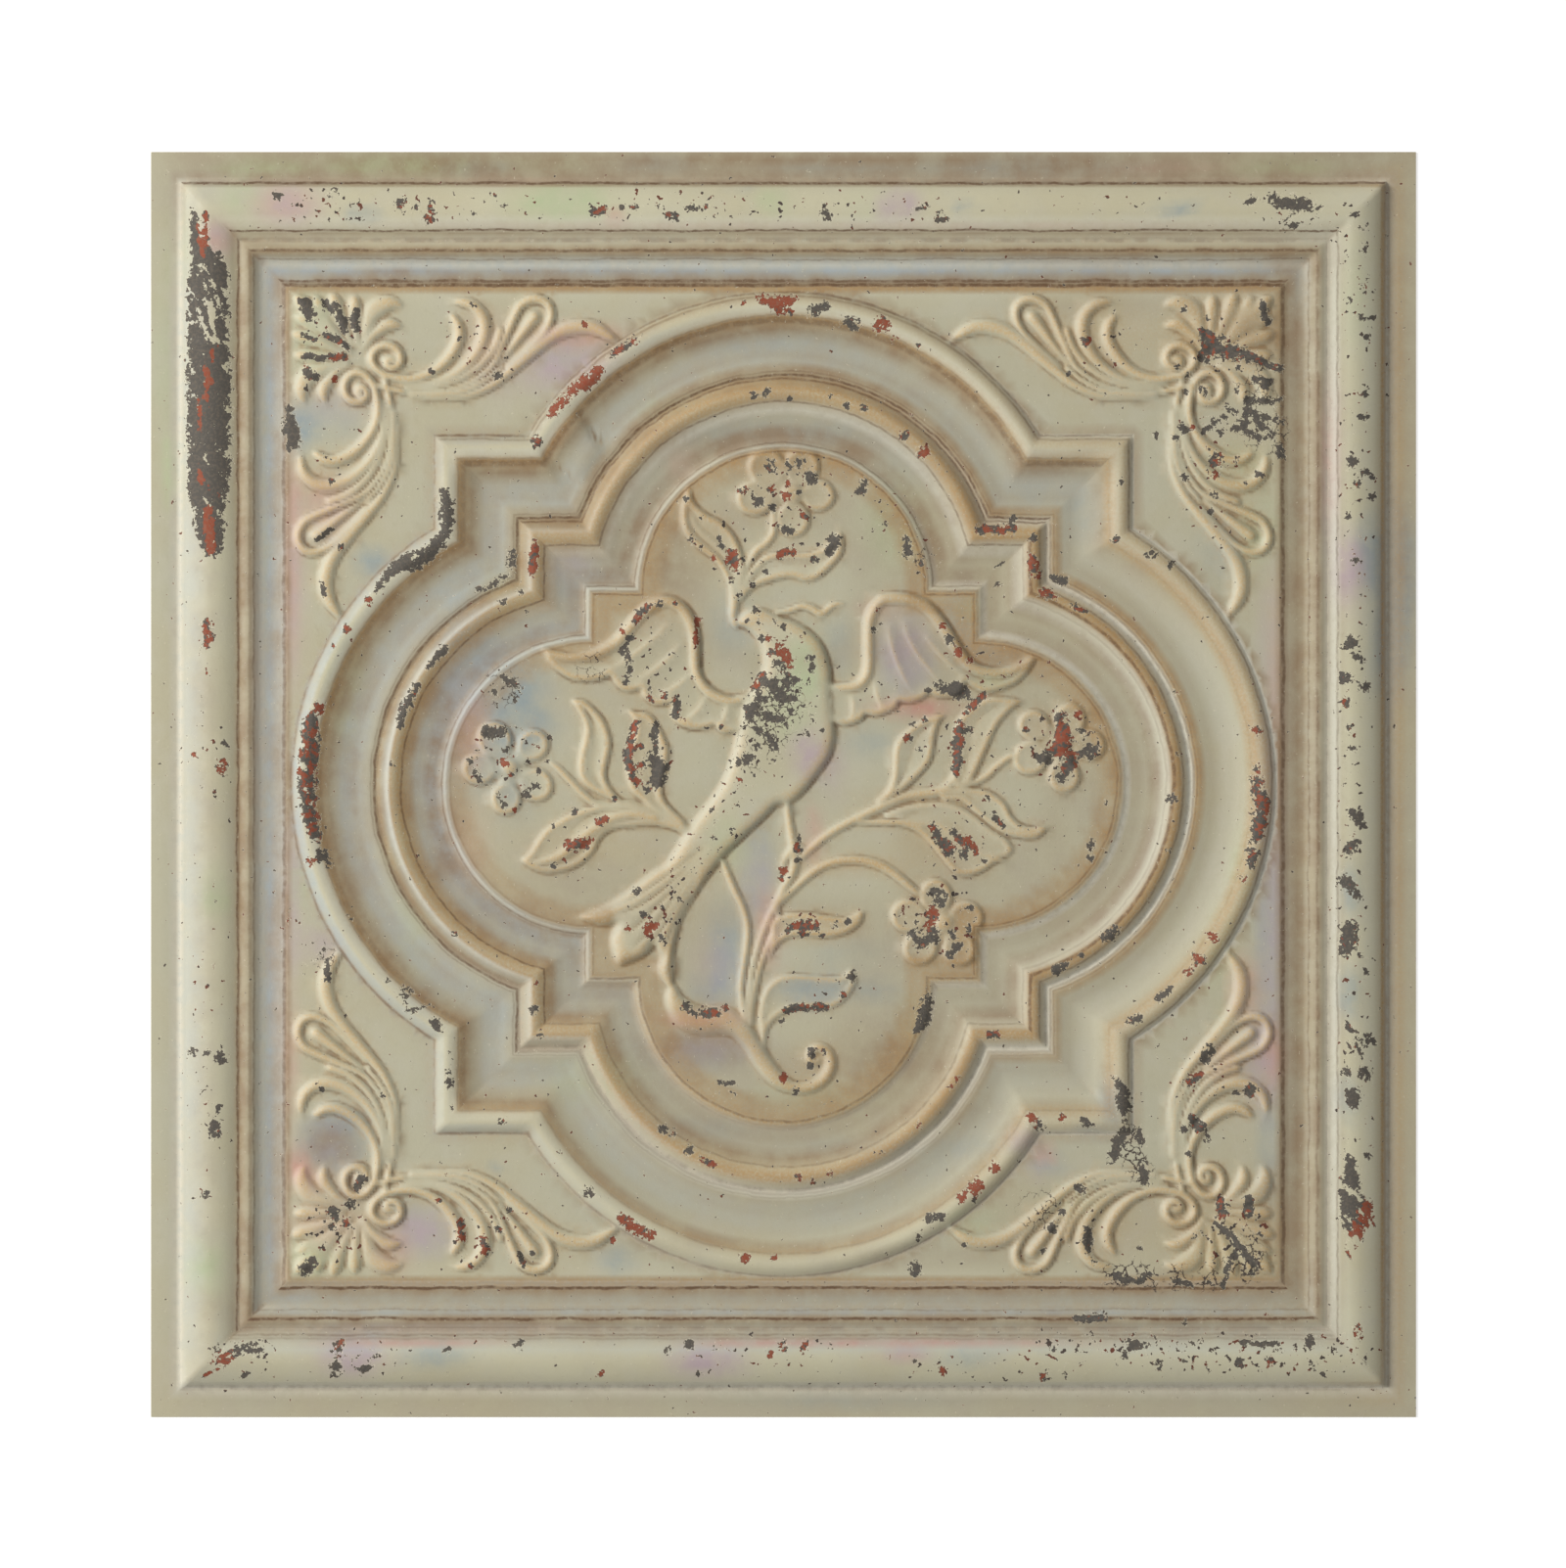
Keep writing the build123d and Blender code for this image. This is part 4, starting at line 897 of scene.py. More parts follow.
# Webs of fine cracks: how open they are, then x, y and half width along a curve
CRACKS = [
    (0.45, 220, 178, 14, 226, 166, 12), (0.6, 228, 196, 6), (0.5, -4, 38, 14, -12, 16, 10),
    (0.8, 156, -231, 6, 200, -232, 5), (0.8, 212, -216, 9, 220, -226, 8), (0.7, 160, -165, 6, 168, -182, 6),
    (0.6, -132, 46, 9), (0.5, 62, 108, 6), (0.5, -216, -80, 6), (0.5, 120, -200, 10), (0.4, -90, 55, 8),
]
# Washes of colour, soft at their edges: (x, y, reach along x, reach along y, strength)
ROSE = [
    (-233, 273, 15, 10, 0.35), (-266, 256, 7, 8, 0.5), (-79, 266, 5, 5, 0.5), (-98, 211, 22, 6, 0.7),
    (-140, 208, 12, 14, 0.3), (-216, 134, 14, 12, 0.5), (-231, 110, 5, 50, 0.45), (-224, -186, 10, 7, 0.5),
    (-228, -177, 6, 8, 0.7), (-184, -219, 9, 10, 0.45), (-215, -208, 18, 12, 0.3), (60, -262, 70, 1.8, 1),
    (-12, -262, 30, 1.6, 0.8), (-175, -262, 40, 1.4, 0.8), (-60, 261, 120, 1.3, 0.5),
    (120, 261, 110, 1.3, 0.5), (-120, 283, 26, 2, 0.4), (256, 155, 4, 32, 0.9), (216, -95, 9, 16, 0.5),
    (231, -128, 6, 14, 0.6), (205, -130, 10, 10, 0.35), (62, 36, 19, 4.5, 1), (44, 82, 12, 5, 0.3),
    (-39, -110, 18, 5, 0.9), (-7, -68, 6, 18, 0.6), (14, -24, 5, 14, 0.5), (-47, 150, 8, 8, 0.3),
    (-148, 20, 8, 16, 0.4), (-150, -30, 12, 20, 0.3), (57, -267, 11, 4, 0.3), (-238, -90, 4, 60, 0.5),
    (-247, 40, 3, 110, 0.3), (180, 290, 30, 4, 0.3), (122, -173, 6, 4, 0.6), (232, 30, 4, 60, 0.35),
    (-232, -130, 5, 30, 0.4), (-160, -255, 60, 3, 0.5),
]
SKY = [
    (-198, 267, 8, 4.5, 0.75), (-18, 280, 5, 3, 0.4), (84, 271, 4.5, 3, 0.7), (186, 270, 8.5, 4, 0.85),
    (-164, -268, 15, 6, 0.75), (85, -269, 12, 5, 0.6), (-196, -257, 24, 2.6, 0.7), (266, -50, 5, 12, 0.8),
    (265, -98, 6, 11, 0.9), (264, -147, 6, 10, 0.7), (275, 108, 7, 16, 1), (288, 96, 10, 36, 1.3),
    (284, 60, 8, 20, 0.8), (-228, 168, 8, 12, 0.9), (-215, 172, 16, 10, 0.45), (-193, 104, 8, 7, 0.9),
    (-104, 203, 12, 8, 0.5), (-205, -165, 14, 14, 0.6), (-214, -168, 13, 13, 1), (-180, -200, 12, 10, 0.3),
    (-169, -211, 14, 10, 0.5), (-79, -224, 9, 7, 0.7), (-135, -179, 4, 3, 0.5), (-150, 62, 13, 34, 0.75),
    (-158, 20, 8, 40, 0.4), (-130, 47, 19, 15, 1), (-122, 28, 16, 12, 0.9), (-138, 12, 16, 16, 0.6),
    (-126, -8, 10, 10, 0.5), (-100, 96, 18, 9, 0.5), (-24, 75, 11, 14, 0.5), (57, 60, 13, 18, 0.8),
    (84, 74, 9, 20, 0.6), (102, 62, 12, 8, 0.5), (26, 66, 6, 14, 0.4), (40, 20, 12, 9, 0.45),
    (-27, -78, 9, 22, 0.9), (-12, -42, 8, 24, 0.7), (-33, -97, 12, 8, 0.7), (-40, -126, 22, 8, 0.9),
    (14, -97, 18, 8, 0.9), (44, -97, 12, 6, 0.5), (30, -80, 18, 10, 0.3), (0, 164, 50, 8, 0.6),
    (60, 150, 20, 12, 0.3), (118, 142, 18, 14, 0.35), (142, 128, 10, 14, 0.4), (228, -60, 7, 70, 0.7),
    (228, -170, 6, 30, 0.5), (204, 108, 10, 20, 0.3), (218, -124, 8, 16, 0.4), (125, -179, 9, 5, 0.7),
    (154, -150, 6, 12, 0.9), (143, -162, 8, 3, 0.6), (110, 290, 50, 6, 0.5), (20, 290, 40, 4, 0.35),
    (-60, 292, 20, 4, 0.4), (-150, 290, 20, 4, 0.7), (30, -290, 44, 5, 0.4), (-130, -108, 10, 8, 0.3),
    (-170, -100, 8, 8, 0.5), (-206, 10, 5, 60, 0.3), (60, -170, 60, 5, 0.35), (-40, -162, 30, 6, 0.4),
    (-20, 208, 60, 6, 0.35),
]
SAGE = [
    (-105, 274, 24, 10, 1), (-255, 275, 10, 9, 0.6), (-5, 274, 9, 7, 0.65), (38, 272, 8, 8, 0.3),
    (-267, -52, 7, 10, 1), (-272, -226, 10, 12, 1), (-288, 149, 5, 18, 0.8), (-292, 200, 5, 40, 0.35),
    (-284, 250, 8, 20, 0.3), (-180, 291, 40, 6, 1.2), (-245, 289, 20, 5, 1.3), (235, 290, 26, 5, 0.6),
    (-110, 292, 20, 5, 0.3), (-222, 214, 10, 24, 0.5), (-228, -46, 5, 12, 0.6), (-224, -221, 10, 10, 0.9),
    (-206, -222, 8, 10, 0.4), (10, 55, 10, 15, 0.9), (0, 34, 14, 14, 0.6), (-26, -28, 10, 12, 0.5),
    (-42, -108, 7, 6, 0.6), (52, 122, 15, 20, 0.6), (98, 50, 12, 6, 0.5), (88, 82, 8, 8, 0.4),
    (212, 150, 16, 12, 0.4), (224, 120, 10, 20, 0.5), (268, 228, 8, 26, 0.3), (-205, 44, 10, 30, 0.45),
    (-180, -30, 6, 40, 0.3), (-172, -66, 8, 20, 0.35), (-130, 90, 14, 12, 0.3), (-60, 178, 20, 5, 0.3),
    (206, -84, 8, 24, 0.5), (214, -40, 6, 20, 0.4), (-90, -138, 22, 12, 0.5), (90, -205, 14, 8, 0.5),
    (206, -222, 22, 12, 0.3), (-241, -150, 4, 60, 0.4), (10, -147, 30, 8, 0.3), (-243, 120, 3, 60, 0.4),
    (62, -110, 8, 12, 0.3), (136, -196, 14, 8, 0.3),
]
LILAC = [
    (-233, 272, 15, 10, 0.75), (-266, 256, 7, 8, 0.8), (54, 272, 9.5, 8.5, 1), (-202, -268, 16, 10, 1),
    (-36, -271, 18, 8.5, 1), (57, -267, 11, 4.5, 0.7), (265, 101, 9, 17, 1), (256, 130, 4, 20, 0.5),
    (-100, 199, 22, 10, 0.8), (-231, 95, 6, 45, 0.6), (-148, 33, 10, 20, 0.7), (-99, 103, 10, 8, 0.5),
    (-214, 122, 10, 12, 0.4), (57, 62, 13, 18, 0.7), (12, 14, 9, 11, 0.9), (24, 6, 6, 14, 0.35),
    (-231, -50, 5, 40, 0.7), (-218, -76, 9, 8, 0.6), (-214, -170, 12, 13, 0.4), (-170, -210, 14, 10, 0.9),
    (-36, -124, 20, 8, 0.5), (-12, -48, 8, 22, 0.4), (-32, -86, 10, 16, 0.4), (230, -60, 6, 80, 0.6),
    (224, -130, 8, 22, 0.7), (113, -167, 8, 6, 0.6), (120, -180, 8, 6, 0.4), (228, 60, 6, 50, 0.35),
    (-120, 190, 30, 10, 0.3), (258, 160, 4, 40, 0.4), (-210, 180, 20, 10, 0.3), (-202, -190, 10, 8, 0.3),
]
# Warm darker glaze over wide areas
UMBER = [
    (-212, -170, 14, 12, 0.8), (-160, 0, 8, 50, 0.6), (0, 160, 50, 8, 0.4), (-200, 0, 9, 60, 0.25),
    (290, 100, 8, 34, 0.3), (220, 214, 16, 14, 0.5), (150, 226, 40, 8, 0.3), (0, 237, 160, 2.6, 0.8),
    (90, 237, 120, 2.4, 0.5), (-110, 240, 60, 3, 0.4), (0, 252, 150, 1.6, 0.5), (78, -150, 26, 10, 0.3),
    (75, 118, 20, 24, 0.25), (228, -200, 8, 24, 0.4), (200, -232, 36, 6, 0.45), (-60, -216, 40, 6, 0.25),
    (60, -222, 60, 6, 0.3), (-60, 106, 22, 22, 0.6), (102, 62, 14, 9, 0.4), (-38, -124, 24, 9, 0.6),
    (-100, -50, 26, 24, 0.25), (233, 214, 6, 40, 0.5), (-180, 240, 18, 4, 0.5), (130, 290, 30, 4, 0.35),
    (170, 245, 80, 3, 0.4), (290, 190, 8, 60, 0.25), (-268, -246, 9, 7, 0.25), (130, -205, 60, 22, 0.2),
    (60, -126, 24, 16, 0.3), (40, -130, 16, 10, 0.2), (285, -40, 8, 30, 0.2), (-160, 291, 60, 5, 0.3),
    (30, 294, 120, 2.5, 0.5),
]

# Dull gold over whole ornaments
OCHRE = [
    (205, 212, 26, 20, 0.7), (150, 210, 34, 14, 0.5), (206, -212, 26, 24, 0.6), (140, -208, 30, 14, 0.4),
    (212, 150, 16, 30, 0.4), (212, -140, 14, 30, 0.25), (-205, -205, 24, 24, 0.2), (131, 20, 17, 18, 0.4),
    (72, -65, 17, 18, 0.5), (86, 16, 14, 26, 0.35), (76, -27, 26, 12, 0.4), (4, 138, 22, 18, 0.25),
    (-64, 10, 12, 28, 0.4), (-92, -28, 30, 10, 0.3), (-66, 80, 30, 12, 0.35), (84, 70, 20, 16, 0.3),
    (-34, -109, 20, 8, 0.4), (14, -134, 14, 12, 0.5), (14, -67, 24, 7, 0.5), (14, -100, 22, 10, 0.2),
    (8, 110, 22, 8, 0.3), (-34, 118, 12, 20, 0.3), (-46, -46, 20, 26, 0.25), (62, -6, 30, 5, 0.4),
    (30, -38, 30, 5, 0.5),
]

# Bands of tone along the mouldings: distance in, half width, tenths on the left, right, top and bottom. The
# pale bands are painted light: highlights on faces that catch the lamp, and lighter paint over faces that lie
# in its shadow.
FRAME_BANDS = {
    "umber": [
        (5, 8, "0373"), (10.6, 1.8, "5360"), (13, 1.4, "0034"), (15, 1.4, "0390"), (25, 7, "3000"),
        (37, 1.4, "1999"), (39.5, 1.6, "2266"), (42.5, 2.4, "9204"), (46.3, 2, "7999"), (47, 1.2, "0009"),
        (49, 1.6, "4775"), (55.5, 4, "3914"), (59, 2.4, "9483"), (61.2, 1.5, "0099"), (63, 1.7, "7699"),
        (65, 1.4, "9275"),
    ],
    "gilt": [
        (9, 4, "0500"), (13.5, 1.2, "0300"), (15, 1.6, "0900"), (17, 2, "0300"), (37, 1.2, "0030"),
        (47, 1.2, "0030"), (61, 1.2, "0015"), (63, 1.2, "0108"), (65, 1.4, "0275"),
    ],
    "cool": [
        (18, 7, "4000"), (29, 3, "1000"), (33, 3, "0003"), (41, 4, "0003"), (49.5, 1.8, "2027"),
        (54, 3, "6073"), (58, 3, "6050"), (59, 2, "0003"), (61.5, 1.5, "6000"),
    ],
    # painted highlight, and painted light over faces in shadow
    "pale": [
        (10.6, 1.6, "0003"), (13.2, 1.5, "7922"), (15, 1.3, "0008"), (18, 3, "2000"), (22, 4, "0200"),
        (34, 2, "0041"), (39, 1.1, "0700"), (41.3, 1.4, "0322"), (43, 1.2, "0300"), (51, 1.1, "6000"),
        (53, 2, "0040"), (61, 1.3, "5100"), (63.2, 1.1, "0006"),
    ],
}
LOBE_BANDS = {
    "umber": [
        (-2.4, 1.5, "0964"), (0, 1, "6000"), (2, 1.2, "0370"), (7.5, 2.2, "0300"), (10, 1.4, "0300"),
        (12.8, 2.3, "9076"), (14.8, 3, "6090"), (17.5, 2.6, "5060"), (24, 6, "4131"), (32, 4, "2232"),
        (34.5, 1.4, "1442"), (36, 1.2, "0550"), (38.2, 1.4, "7395"), (40.2, 1.6, "9030"), (42.3, 1.6, "8080"),
        (44.2, 1.2, "0350"), (46.3, 1.6, "6935"), (48.5, 1.6, "0910"), (50.5, 1.2, "4030"),
        (52.5, 2.2, "9034"), (55.5, 2.4, "3715"), (58, 6, "4323"), (66, 4, "5363"), (69, 2, "6353"),
        (73.8, 1.6, "4793"), (78, 5, "4445"), (92, 16, "1333"),
    ],
    "gilt": [
        (3, 2, "0720"), (7.5, 2.4, "0500"), (10, 1.2, "4973"), (12, 1.2, "6363"), (14, 1.2, "3031"),
        (36, 1.4, "0720"), (38, 1, "0300"), (41, 2, "0341"), (44, 1.2, "0887"), (46, 1.2, "7889"),
        (48, 1.2, "5999"), (50.3, 1.2, "9166"), (53, 2, "5012"), (71.5, 1.2, "0609"), (74, 1.4, "1685"),
        (79, 4, "3444"),
    ],
    "cool": [
        (1.5, 2.4, "7000"), (28, 7, "5032"), (38.6, 1.4, "0003"), (44, 1.4, "7000"), (46, 1.2, "2000"),
        (55, 3, "3010"), (60.5, 3, "5000"), (67, 4, "9000"), (72, 1.3, "5000"),
    ],
    # painted highlight, and painted light over faces in shadow
    "pale": [
        (0, 1.2, "0903"), (2, 1.4, "1000"), (8, 1.4, "5140"), (20, 5, "0200"), (37, 1.5, "1003"),
        (39.8, 1.3, "0905"), (42, 1.2, "0302"), (44, 1, "6002"), (50.5, 1, "0500"), (53, 2, "0430"),
        (55, 2, "0030"), (70, 1.4, "1812"), (72, 1, "4030"),
    ],
}


class Paint:
    """Maps of the finish over the whole tile, read off at the mesh's vertices."""

    STEP = 1.0
    MARGIN = 2.5

    def __init__(self):
        self.axis = np.arange(-HALF - self.MARGIN, HALF + self.MARGIN + 0.1, self.STEP)
        self.x, self.y = np.meshgrid(self.axis, self.axis)
        self.chip, self.rust, self.fine, self.crack = (np.zeros(self.x.shape) for _ in range(4))

    def near(self, curve, reach):
        """How near points are to a curve: one half at its edge, 1 and 0 a reach inside and outside it."""
        stops = np.array(curve, dtype=float).reshape(-1, 3)
        line = curve_points(stops.tolist()) if len(stops) > 1 else np.repeat(stops, 2, axis=0)
        margin = line[:, 2].max() * 2 + reach
        low = np.searchsorted(self.axis, line[:, :2].min(axis=0) - margin)
        high = np.searchsorted(self.axis, line[:, :2].max(axis=0) + margin)
        at = slice(low[1], high[1]), slice(low[0], high[0])
        distance, _, width, _ = Relief.nearest(line, self.x[at], self.y[at])
        return at, np.clip(0.5 + (width - distance) / (2 * np.minimum(width, reach)), 0, 1)

    def chips(self, shares, broken):
        for rust, rows in shares.items():
            for curve in rows:
                at, near = self.near(curve, 2.6)
                near = near - broken * (near > 0)
                stronger = (near > 0) & (near >= self.chip[at])
                self.rust[at] = np.where(stronger, rust, self.rust[at])
                self.chip[at] = np.maximum(self.chip[at], near)

    def scatter(self, target, rows):
        for strength, *curve in rows:
            at, near = self.near(curve, 5.0)
            target[at] = np.maximum(target[at], strength * smooth_step(near, 0.1, 0.9))

    def islands(self, curves):
        for curve in curves:
            at, near = self.near(curve, 1.6)
            self.chip[at] = np.minimum(self.chip[at], 1 - near)

    def streaks(self, curves):
        for curve in curves:
            at, near = self.near(curve, 2.0)
            self.rust[at] = np.maximum(self.rust[at], near)

    def wash(self, rows):
        total = np.zeros(self.x.shape)
        for x, y, rx, ry, strength in rows:
            total += strength * np.exp(-((((self.x - x) / rx) ** 2 + ((self.y - y) / ry) ** 2) ** 1.4))
        return np.clip(total, 0, 1)

    def read(self, values, x, y):
        return sample_map(values, x, y, reach=HALF + self.MARGIN, step=self.STEP)


def paint_maps():
    paint = Paint()
    for shares, broken in CHIP_TABLES:
        paint.chips(shares, broken)
    paint.islands(CREAM_ISLANDS)
    paint.streaks(RED_STREAKS)
    paint.scatter(paint.fine, FINE_CHIPS)
    paint.scatter(paint.crack, CRACKS)
    return paint


def frame_ring(distance, side, t):
    """Points of the square that lies this far in from the tile's edge."""
    h = HALF - distance
    x, y = np.full_like(t, h), h * (2 * t - 1)
    for _ in range(side):
        x, y = -y, x
    return np.stack([x, y], axis=1)


def lobe_ring(depth, part, t):
    """Points of the quatrefoil this deep inside its outer edge: a lobe and two sides of a barb a quarter."""
    s = BARB - depth
    r = LOBE_R - depth
    meet = math.sqrt(r * r - (s - LOBE_C) ** 2)
    turn, kind = divmod(part, 3)
    if kind == 0:
        half = math.atan2(meet, s - LOBE_C)
        angle = half * (2 * t - 1)
        x, y = LOBE_C + r * np.cos(angle), r * np.sin(angle)
    elif kind == 1:
        x, y = np.full_like(t, s), meet + (s - meet) * t
    else:
        x, y = s + (meet - s) * t, np.full_like(t, s)
    for _ in range(turn):
        x, y = -y, x
    return np.stack([x, y], axis=1)


def spread(density):
    """Positions from 0 up to 1, spaced as a sampled density asks, without the last one."""
    total = np.concatenate([[0], np.cumsum(0.5 * (density[1:] + density[:-1]))]) / (len(density) - 1)
    count = max(1, int(math.ceil(total[-1])))
    return np.interp(np.linspace(0, total[-1], count + 1)[:-1], total, np.linspace(0, 1, len(density)))


def ring_columns(outline, parts, rows, widest, finest, detail):
    """Where the columns of a ring stand on each part: closer where the paint has detail."""
    columns = []
    t = np.linspace(0, 1, 601)
    for part in range(parts):
        need = np.zeros(t.shape)
        length = 0
        for row in rows:
            points = outline(row, part, t)
            length = max(length, np.hypot(*np.diff(points, axis=0).T).sum())
            need = np.maximum(need, detail(points[:, 0], points[:, 1]))
        columns.append(spread(length * (1 / widest + need * (1 / finest - 1 / widest))))
    return columns


class Sheet:
    """The formed sheet: its face, its plain back and the cut edge between them."""

    def __init__(self, face):
        self.face = face
        self.points, self.triangles, self.quads = [], [], []
        self.count = 0

    def size(self):
        """How many triangles the sheet has so far."""
        return 2 * sum(len(q) for q in self.quads) + sum(len(t) for t in self.triangles)

    def add(self, xy, z):
        first = self.count
        self.points.append(np.column_stack([xy, z]))
        self.count += len(xy)
        return np.arange(first, self.count)

    def band(self, outer, inner):
        """Quads between two closed rows of as many points."""
        ahead = np.roll(np.arange(len(outer)), -1)
        self.quads.append(np.column_stack([outer, outer[ahead], inner[ahead], inner]))

    def ring(self, outline, rows, columns):
        """Rows of quads between two outlines. Returns the outer and the inner row's points."""
        ids = []
        for row in rows:
            xy = np.concatenate([outline(row, part, t) for part, t in enumerate(columns)])
            ids.append(self.add(xy, self.face(xy[:, 0], xy[:, 1])))
        for outer, inner in zip(ids, ids[1:]):
            self.band(outer, inner)
        return ids[0], ids[-1]

    def fill(self, loops, lattice, keep, height, flip=False):
        """Triangles between closed loops of points that exist already, and through a lattice of new ones."""
        known = np.concatenate(self.points)
        fixed = np.concatenate(loops)
        fresh = self.add(lattice, height(lattice[:, 0], lattice[:, 1]))
        names = np.concatenate([fixed, fresh])
        flat = np.concatenate([known[fixed, :2], lattice])
        edges = []
        start = 0
        for loop in loops:
            n = len(loop)
            edges += [(start + k, start + (k + 1) % n) for k in range(n)]
            start += n
        result = delaunay_2d_cdt([Vector(p) for p in flat], edges, [], 0, 1e-5)
        origin = np.array([o[0] if o else -1 for o in result[3]])
        faces = np.array([f[:] for f in result[2]])
        at = np.array([v[:] for v in result[0]])
        centre = at[faces].mean(axis=1)
        faces = faces[keep(centre[:, 0], centre[:, 1]) & (origin[faces] >= 0).all(axis=1)]
        faces = names[origin[faces]]
        self.triangles.append(faces[:, ::-1] if flip else faces)

    def mesh(self, name, split):
        """Blender mesh in metres, in the second material where a face has a point from the split on."""
        points = np.concatenate(self.points) * MM
        quads = np.concatenate(self.quads)
        triangles = np.concatenate(self.triangles)
        mesh = bpy.data.meshes.new(name)
        mesh.vertices.add(len(points))
        mesh.vertices.foreach_set("co", points.astype(np.float32).ravel())
        corners = np.concatenate([quads.ravel(), triangles.ravel()])
        mesh.loops.add(len(corners))
        mesh.loops.foreach_set("vertex_index", corners.astype(np.int32))
        starts = np.concatenate([np.arange(len(quads)) * 4, len(quads) * 4 + np.arange(len(triangles)) * 3])
        mesh.polygons.add(len(starts))
        mesh.polygons.foreach_set("loop_start", starts.astype(np.int32))
        highest = np.concatenate([quads.max(axis=1), triangles.max(axis=1)])
        mesh.polygons.foreach_set("material_index", (highest >= split).astype(np.int32))
        mesh.update(calc_edges=True)
        mesh.validate()
        mesh.polygons.foreach_set("use_smooth", np.ones(len(mesh.polygons), dtype=bool))
        return mesh


def adaptive_lattice(need, steps, inside, clear):
    """Points of nested square lattices: the finer ones only where the map of need asks for them."""
    finest = steps[0]
    count = int(HALF / finest)
    index = np.arange(-count, count + 1)
    i, j = np.meshgrid(index, index)
    x, y = i * finest, j * finest
    level = need(x, y)
    chosen = np.zeros(x.shape, dtype=bool)
    for k, step in enumerate(steps):
        stride = int(round(step / finest))
        chosen |= (i % stride == 0) & (j % stride == 0) & (level >= 1 - (k + 0.5) / len(steps))
    stride = int(round(steps[-1] / finest))
    chosen |= (i % stride == 0) & (j % stride == 0)
    x, y = x[chosen], y[chosen]
    ok = inside(x, y) > clear
    return np.column_stack([x[ok], y[ok]])


def field_depth(x, y):
    """How far a point lies inside the flat field around the quatrefoil."""
    edge = HALF - np.maximum(np.abs(x), np.abs(y)) - FRAME_END
    return np.minimum(edge, LOBE_START - lobe_depth(x, y))


def plate_depth(x, y):
    """How far a point lies inside the quatrefoil's middle plate."""
    return lobe_depth(x, y) - LOBE_END


def form_face():
    """The height of the whole face as a map, and a function that reads it exactly."""
    relief = Relief()
    corner_ornament(relief)
    bird_and_blossoms(relief)
    relief.z = blur(relief.z, FORMING_SOFTENS / GRID)
    upper_left_saddle(relief)

    def face(x, y):
        inside = (np.abs(x) < REACH) & (np.abs(y) < REACH)
        return moulding_height(x, y) + np.where(inside, sample_map(relief.z, x, y), 0)

    axis = np.clip(np.arange(-HALF - 1, HALF + 1 + GRID / 2, GRID), -HALF, HALF)
    return face, face(*np.meshgrid(axis, axis))


def face_map(values, x, y):
    return sample_map(values, x, y, reach=HALF + 1)


def build_sheet(thickness):
    """The face, back and edge as one closed mesh, with the maps that its paint is read from."""
    face, height = form_face()
    paint = paint_maps()
    dy, dx = np.gradient(blur(height, 0.5 / GRID), GRID)
    bend = np.hypot(*np.gradient(dx, GRID)) + np.hypot(*np.gradient(dy, GRID))
    bend = blur(bend, 0.7 / GRID)
    paint_edge = blur(np.hypot(*np.gradient(paint.chip)), 0.8)

    def detail(x, y):
        return np.clip(paint.read(paint_edge, x, y) * 14, 0, 1)

    def need(x, y):
        curved = face_map(bend, x, y)
        level = np.select([curved > 0.2, curved > 0.04], [1.0, 0.6], 0.0)
        return np.maximum(level, np.where(detail(x, y) > 0.6, 0.6, 0.0))

    sheet = Sheet(face)
    frame_rows = FRAME_PROFILE.rows(0, FRAME_END, 4.0, 1.5)
    lobe_rows = LOBE_PROFILE.rows(LOBE_START, LOBE_END, 3.4, 1.5)
    frame_columns = ring_columns(frame_ring, 4, frame_rows, 12.0, 2.3, detail)
    lobe_columns = ring_columns(lobe_ring, 12, lobe_rows, 4.6, 2.3, detail)
    rim_top, frame_inner = sheet.ring(frame_ring, frame_rows, frame_columns)
    lobe_outer, lobe_inner = sheet.ring(lobe_ring, lobe_rows, lobe_columns)
    lattice = adaptive_lattice(need, FIELD_STEPS, field_depth, 0.7)
    sheet.fill([frame_inner, lobe_outer], lattice, lambda x, y: field_depth(x, y) > 1e-4, face)
    lattice = adaptive_lattice(need, PLATE_STEPS, plate_depth, 0.7)
    sheet.fill([lobe_inner], lattice, lambda x, y: plate_depth(x, y) > 1e-4, face)
    split = sheet.count
    front = sheet.size()

    # The back follows the face a sheet's thickness below, with softer detail
    soft = blur(height, 0.9 / GRID)
    sy, sx = np.gradient(soft, GRID)
    under = np.maximum(soft - thickness * np.sqrt(1 + sx**2 + sy**2), 0)

    def back(x, y):
        return face_map(under, x, y)

    def back_need(x, y):
        curved = face_map(bend, x, y)
        return np.select([curved > 0.16, curved > 0.05], [1.0, 0.6], 0.0)

    rim = np.concatenate([frame_ring(0, k, t) for k, t in enumerate(frame_columns)])
    loops = [sheet.add(rim, np.zeros(len(rim)))]
    sheet.band(loops[0], rim_top)
    side = spread(np.full(50, 24.0))
    for distance in (13.5, *FRAME_PROFILE.rows(14.6, FRAME_END, 8, 1.0)):
        xy = np.concatenate([frame_ring(distance, k, side) for k in range(4)])
        loops.append(sheet.add(xy, back(xy[:, 0], xy[:, 1])))
    for depth in LOBE_PROFILE.rows(LOBE_START, LOBE_END, 6, 0.9):
        length = [2.4 * (LOBE_R - depth) / 8, 4.0, 4.0] * 4
        xy = np.concatenate([lobe_ring(depth, k, spread(np.full(50, n))) for k, n in enumerate(length)])
        loops.append(sheet.add(xy, back(xy[:, 0], xy[:, 1])))
    lattice = [adaptive_lattice(back_need, BACK_STEPS, depth, 1.5) for depth in (field_depth, plate_depth)]

    def inside(x, y):
        return np.maximum(np.abs(x), np.abs(y)) < HALF - 1e-4

    sheet.fill(loops, np.concatenate(lattice), inside, back, flip=True)
    print("sheet:", front, "triangles on the face,", sheet.size(), "in all")
    return sheet, split, height, paint


